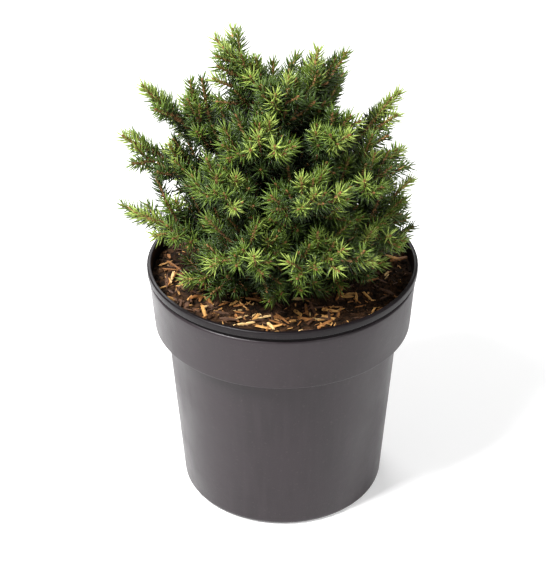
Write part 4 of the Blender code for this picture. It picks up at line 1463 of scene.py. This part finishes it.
class SPRUCE_OT_chips(bpy.types.Operator):
    """Strew chips and splinters of bark over the peat"""

    bl_idname = "spruce.chips"
    bl_label = "Bark chips"

    def execute(self, context):
        settings = context.scene.spruce_peat
        rng = random.Random(SEED + 2)
        spots = chip_places(settings, rng)
        shares = [share for _, _, share in CHIP_TONES]
        dealt = {name: [] for name, _, _ in CHIP_TONES}
        for spot in spots:
            name = rng.choices([name for name, _, _ in CHIP_TONES], shares)[0]
            dealt[name].append(spot)
        halves = [(name, colour, half) for name, colour, _ in CHIP_TONES for half in (0, 1)]
        for name, colour, half in halves:
            places, turns, sizes = [], [], []
            for x, y in dealt[name][half::2]:
                large = rng.random() ** 2.8
                length = 0.0028 + 0.0125 * large
                wide = rng.uniform(0.7, 1.7) * (1.15 - 0.6 * large)
                height = peat_top(x, y, settings.lumps)
                if math.hypot(x, y) + length / 2 > 0.0895:
                    scale = (0.0895 / (math.hypot(x, y) + length / 2))
                    x, y = x * scale, y * scale
                places.append((x, y, height + rng.uniform(0.0004, 0.0016)))
                turns.append((rng.gauss(0, 0.30), rng.gauss(0, 0.20), rng.uniform(0, math.tau)))
                sizes.append((length, length * wide, length * rng.uniform(0.8, 1.4)))
            shape = chip_shape(rng)
            cloud = point_cloud("chip_points", places, turns, sizes)
            finish = chip_material(f"chip_{name}_{half + 1}", Vector(colour) * (1.0 + 0.25 * half))
            piece = apply_tree(cloud, f"bark_chips_{name}_{half + 1}", "Pieces on points",
                               {"Shape": shape, "Finish": finish})
            drop(shape)
            seat(piece)
        return {"FINISHED"}


# Trunk, boughs, twigs, buds and needles


class SPRUCE_OT_bark(bpy.types.Operator):
    """Build the trunk and the boughs with the relief of their bark"""

    bl_idname = "spruce.bark"
    bl_label = "Trunk and boughs"

    def execute(self, context):
        settings = context.scene.spruce_bark
        finish = bark_material("old_bark", settings.dark, settings.light, 240.0)
        count = 90
        heights = [TRUNK_FOOT + (TRUNK_TOP - TRUNK_FOOT) * i / count for i in range(count + 1)]
        run = {"points": [trunk_point(h) for h in heights], "girth": [trunk_radius(h) for h in heights],
               "opening": [0.0] * (count + 1), "needle": [0.0] * (count + 1),
               "fullness": [0.0] * (count + 1)}
        values = {"Ring Spacing": 0.0009, "Sides": 40, "Ridge Depth": settings.ridge, "Ridge Scale": 330.0,
                  "Ridge Stretch": 0.30, "Peg Spacing": 0.0016, "Peg Length": 0.0011, "Peg Width": 0.0010,
                  "Seed": 3, "Bark": finish}
        trunk = apply_tree(line_object("trunk_line", [run]), "trunk_bark", "Bark along limbs", values)
        for vertex in trunk.data.vertices:
            vertex.co.z = max(vertex.co.z, TRUNK_FOOT)
        trunk.data.shade_smooth()
        seat(trunk, ["trunk"])
        runs = []
        for limb in plant()["limbs"]:
            if limb.share:
                shares = [limb.share * i / 30 for i in range(31)]
                girth = [BOUGH_RADIUS + (BOUGH_TIP_RADIUS - BOUGH_RADIUS) * i / 30 for i in range(31)]
                runs.append({"points": [limb.at(s) for s in shares], "girth": girth,
                             "opening": [0.0] * 31, "needle": [0.0] * 31, "fullness": [0.0] * 31})
        values.update({"Ring Spacing": 0.0008, "Sides": 14, "Ridge Depth": settings.ridge * 0.5,
                       "Ridge Scale": 500.0, "Ridge Stretch": 1.0, "Peg Spacing": 0.0006})
        boughs = apply_tree(line_object("bough_lines", runs), "bough_bark", "Bark along limbs", values)
        boughs.data.shade_smooth()
        seat(boughs, [name for name in NODES if name.startswith("bough_")])
        return {"FINISHED"}


class SPRUCE_OT_twigs(bpy.types.Operator):
    """Build the twigs with their pegs, and a bud on the tip of each"""

    bl_idname = "spruce.twigs"
    bl_label = "Twigs and buds"

    def execute(self, context):
        settings = context.scene.spruce_bark
        finish = bark_material("young_bark", settings.twig_dark, settings.twig_light, 420.0, 0.7)
        values = {"Ring Spacing": 0.0030, "Sides": 5, "Ridge Depth": 0.0003, "Ridge Scale": 900.0,
                  "Ridge Stretch": 1.0, "Peg Spacing": 0.0014, "Peg Length": 0.0014, "Peg Width": 0.0011,
                  "Seed": 5, "Bark": finish}
        runs = [twig.run(0.0, 1.0) for twig in plant()["twigs"]]
        twigs = apply_tree(line_object("twig_lines", runs), "twigs", "Bark along limbs", values)
        seat(twigs, [name for name in NODES if name.startswith("foliage_")])
        self.buds(settings)
        self.collars()
        return {"FINISHED"}

    def collars(self):
        """A ring of old bud scales where each twig springs from another, and along the thick ones."""
        rng = random.Random(SEED + 6)
        places, turns, sizes = [], [], []
        for twig in plant()["twigs"]:
            shares = [0.04] + ([0.35 + 0.3 * rng.random()] if twig.order < 2 else [])
            for share in shares:
                girth = twig.girth[0] + (twig.girth[1] - twig.girth[0]) * share
                size = girth * rng.uniform(1.25, 1.6)
                places.append(twig.at(share))
                turns.append(tuple(twig.along(share).to_track_quat("Z", "Y").to_euler()))
                sizes.append((size, size, size * rng.uniform(1.2, 1.9)))
        shape = bmesh.new()
        rings = []
        for height, radius, ragged in ((-0.9, 0.55, 0.0), (-0.2, 1.0, 0.0), (0.9, 1.05, 0.35), (0.3, 0.5, 0.0)):
            ring = []
            for i in range(8):
                angle = math.tau * i / 8
                rise = ragged if i % 2 else 0.0
                ring.append(shape.verts.new((radius * math.cos(angle), radius * math.sin(angle), height - rise)))
            rings.append(ring)
        for low, high in zip(rings, rings[1:]):
            for i in range(8):
                shape.faces.new((low[i], low[(i + 1) % 8], high[(i + 1) % 8], high[i]))
        shape.faces.new(list(reversed(rings[0])))
        shape.faces.new(rings[-1])
        mesh = bpy.data.meshes.new("collar")
        shape.to_mesh(mesh)
        shape.free()
        collar = new_object("collar", mesh)
        finish = bark_material("old_scales", (0.16, 0.068, 0.022), (0.50, 0.27, 0.105), 900.0, 0.65)
        cloud = point_cloud("collar_points", places, turns, sizes)
        piece = apply_tree(cloud, "scale_collars", "Pieces on points", {"Shape": collar, "Finish": finish})
        drop(collar)
        seat(piece)

    def buds(self, settings):
        """A scaly bud on each twig's tip, and smaller ones beside it."""
        rng = random.Random(SEED + 4)
        places, turns, sizes = [], [], []
        for twig in plant()["twigs"]:
            tip, ahead = twig.points[-1], twig.along(1.0)
            for side in range(2 if rng.random() < 0.6 else 1):
                scatter = Vector([rng.uniform(-1, 1) for _ in range(3)])
                aim = (ahead + scatter * (0.0 if side == 0 else 0.8)).normalized()
                size = 0.0010 if side == 0 else rng.uniform(0.0006, 0.0007)
                places.append(tip + aim * size * 0.9)
                turns.append(tuple(aim.to_track_quat("Z", "Y").to_euler()))
                sizes.append((size, size, size * 1.7))
        shape = bmesh.new()
        bmesh.ops.create_uvsphere(shape, u_segments=5, v_segments=4, radius=1.0)
        for vertex in shape.verts:
            vertex.co.x *= 1.0 - 0.45 * vertex.co.z
            vertex.co.y *= 1.0 - 0.45 * vertex.co.z
        mesh = bpy.data.meshes.new("bud")
        shape.to_mesh(mesh)
        shape.free()
        bud = new_object("bud", mesh)
        finish = bark_material("bud_scales", (0.12, 0.048, 0.015), (0.34, 0.165, 0.050), 1500.0, 0.6)
        cloud = point_cloud("bud_points", places, turns, sizes)
        piece = apply_tree(cloud, "buds", "Pieces on points", {"Shape": bud, "Finish": finish})
        drop(bud)
        seat(piece)


class SPRUCE_OT_needles(bpy.types.Operator):
    """Set the needles along the twigs, in a piece for each tone"""

    bl_idname = "spruce.needles"
    bl_label = "Needles"

    def execute(self, context):
        settings = context.scene.spruce_needles
        rng = random.Random(SEED + 5)
        dealt = {name: [] for name in TONE_NAMES}
        for twig in plant()["twigs"]:
            for tone, run in tone_runs(twig, rng):
                dealt[TONE_NAMES[tone]].append(run)
        foliage = [name for name in NODES if name.startswith("foliage_")]
        for number, name in enumerate(TONE_NAMES):
            colour = Vector(getattr(settings, name))
            pale = colour * 1.15 + Vector((0.003, 0.007, 0.004))
            outer = plain_material("needle_" + name, colour, 0.32, 0.42)
            inner = plain_material("needle_" + name + "_pale", pale, 0.45, 0.35)
            values = {"Spacing": settings.spacing, "Length": settings.length, "Width": settings.width,
                      "Lowest Height": SOIL_HEIGHT + 0.0012, "Lip Height": POT_TOP + 0.0006,
                      "Lip Reach": LIP_RADIUS - LIP_WIDTH - 0.0012, "Seed": 31 * number + 1,
                      "Outer Face": outer, "Inner Face": inner}
            for part, runs in enumerate(self.batches(dealt[name], settings.spacing)):
                lines = line_object("needle_lines", runs)
                piece = apply_tree(lines, f"needles_{name}_{part + 1}", "Needles along twigs", values)
                seat(piece, foliage)
        return {"FINISHED"}

    def batches(self, runs, spacing):
        """Share the runs out so that each piece stays under about 190,000 triangles."""
        most = 190000 / 14
        batches, count = [[]], 0.0
        for run in runs:
            points = run["points"]
            length = sum((b - a).length for a, b in zip(points, points[1:]))
            needles = length / spacing * sum(run["fullness"]) / len(points) + 1
            if count + needles > most:
                batches.append([])
                count = 0.0
            batches[-1].append(run)
            count += needles
        return [batch for batch in batches if batch]


# The stage


class SPRUCE_OT_stage(bpy.types.Operator):
    """Set the floor, the lights and the camera"""

    bl_idname = "spruce.stage"
    bl_label = "Stage"

    def execute(self, context):
        settings = context.scene.spruce_stage
        scene = context.scene
        scene.view_settings.view_transform = "Standard"
        mesh = bpy.data.meshes.new("floor")
        half = 6.0
        mesh.from_pydata([(-half, -half, 0), (half, -half, 0), (half, half, 0), (-half, half, 0)], [],
                         [(0, 1, 2, 3)])
        floor = new_object("floor", mesh)
        graph, shader, material = new_material("floor", (0.80, 0.80, 0.80), 0.9)
        shader.inputs["Emission Color"].default_value = (1.0, 1.0, 1.0, 1.0)
        shader.inputs["Emission Strength"].default_value = 0.35
        place = graph.node("ShaderNodeTexCoord").outputs["Object"]
        mottle = placed_group(graph, "Mottle", {"Vector": place, "Scale": 3.0,
                                                "First": (0.79, 0.79, 0.79, 1.0),
                                                "Second": (0.81, 0.81, 0.81, 1.0)})
        graph.feed(shader.inputs["Base Color"], mottle["Color"])
        floor.data.materials.append(material)
        world = bpy.data.worlds.new("studio")
        world.use_nodes = True
        world.node_tree.nodes["Background"].inputs["Color"].default_value = (1.0, 1.0, 1.0, 1.0)
        world.node_tree.nodes["Background"].inputs["Strength"].default_value = 0.36
        scene.world = world
        self.lamp("key", (-0.78, -0.58, 1.42), 0.42, 53.0)
        self.lamp("fill", (0.9, -1.2, 1.1), 0.8, 8.0)
        self.lamp("back", (-0.3, 1.3, 1.3), 0.8, 15.0)
        data = bpy.data.cameras.new("camera")
        data.lens = settings.lens
        data.sensor_width = 36.0
        data.shift_x = settings.shift
        camera = new_object("camera", data)
        aim = Vector((0.0, 0.0, settings.target))
        back = Vector((0.0, -math.cos(settings.elevation), math.sin(settings.elevation)))
        camera.location = aim + back * settings.distance
        camera.rotation_euler = (-back).to_track_quat("-Z", "Y").to_euler()
        scene.camera = camera
        return {"FINISHED"}

    def lamp(self, name, place, size, power):
        """A square soft light that faces the plant."""
        data = bpy.data.lights.new(name, "AREA")
        data.size = size
        data.energy = power
        lamp = new_object(name, data)
        lamp.location = place
        aim = Vector((0.0, 0.0, 0.2)) - Vector(place)
        lamp.rotation_euler = aim.to_track_quat("-Z", "Y").to_euler()


class SPRUCE_PT_panel(bpy.types.Panel):
    """The plant's pieces, in the order in which they are made"""

    bl_idname = "SPRUCE_PT_panel"
    bl_label = "Potted spruce"
    bl_space_type = "VIEW_3D"
    bl_region_type = "UI"
    bl_category = "Spruce"

    def draw(self, context):
        for operator in OPERATORS:
            self.layout.operator(operator.bl_idname)
        for name in SETTINGS:
            box = self.layout.box()
            settings = getattr(context.scene, name)
            for field in settings.bl_rna.properties:
                if field.identifier not in ("rna_type", "name"):
                    box.prop(settings, field.identifier)


OPERATORS = (SPRUCE_OT_stage, SPRUCE_OT_pot, SPRUCE_OT_peat, SPRUCE_OT_chips, SPRUCE_OT_bark,
             SPRUCE_OT_twigs, SPRUCE_OT_needles)


def register():
    """Register the settings, the operators and the panel."""
    for name, settings in SETTINGS.items():
        bpy.utils.register_class(settings)
        setattr(bpy.types.Scene, name, PointerProperty(type=settings))
    for operator in OPERATORS:
        bpy.utils.register_class(operator)
    bpy.utils.register_class(SPRUCE_PT_panel)


def unregister():
    """Take them out again."""
    bpy.utils.unregister_class(SPRUCE_PT_panel)
    for operator in reversed(OPERATORS):
        bpy.utils.unregister_class(operator)
    for name, settings in SETTINGS.items():
        delattr(bpy.types.Scene, name)
        bpy.utils.unregister_class(settings)


def main():
    """Grow the plant and build every piece."""
    register()
    bpy.ops.spruce.stage()
    bpy.ops.spruce.pot()
    bpy.ops.spruce.peat()
    bpy.ops.spruce.chips()
    bpy.ops.spruce.bark()
    bpy.ops.spruce.twigs()
    bpy.ops.spruce.needles()


if __name__ == "__main__":
    main()
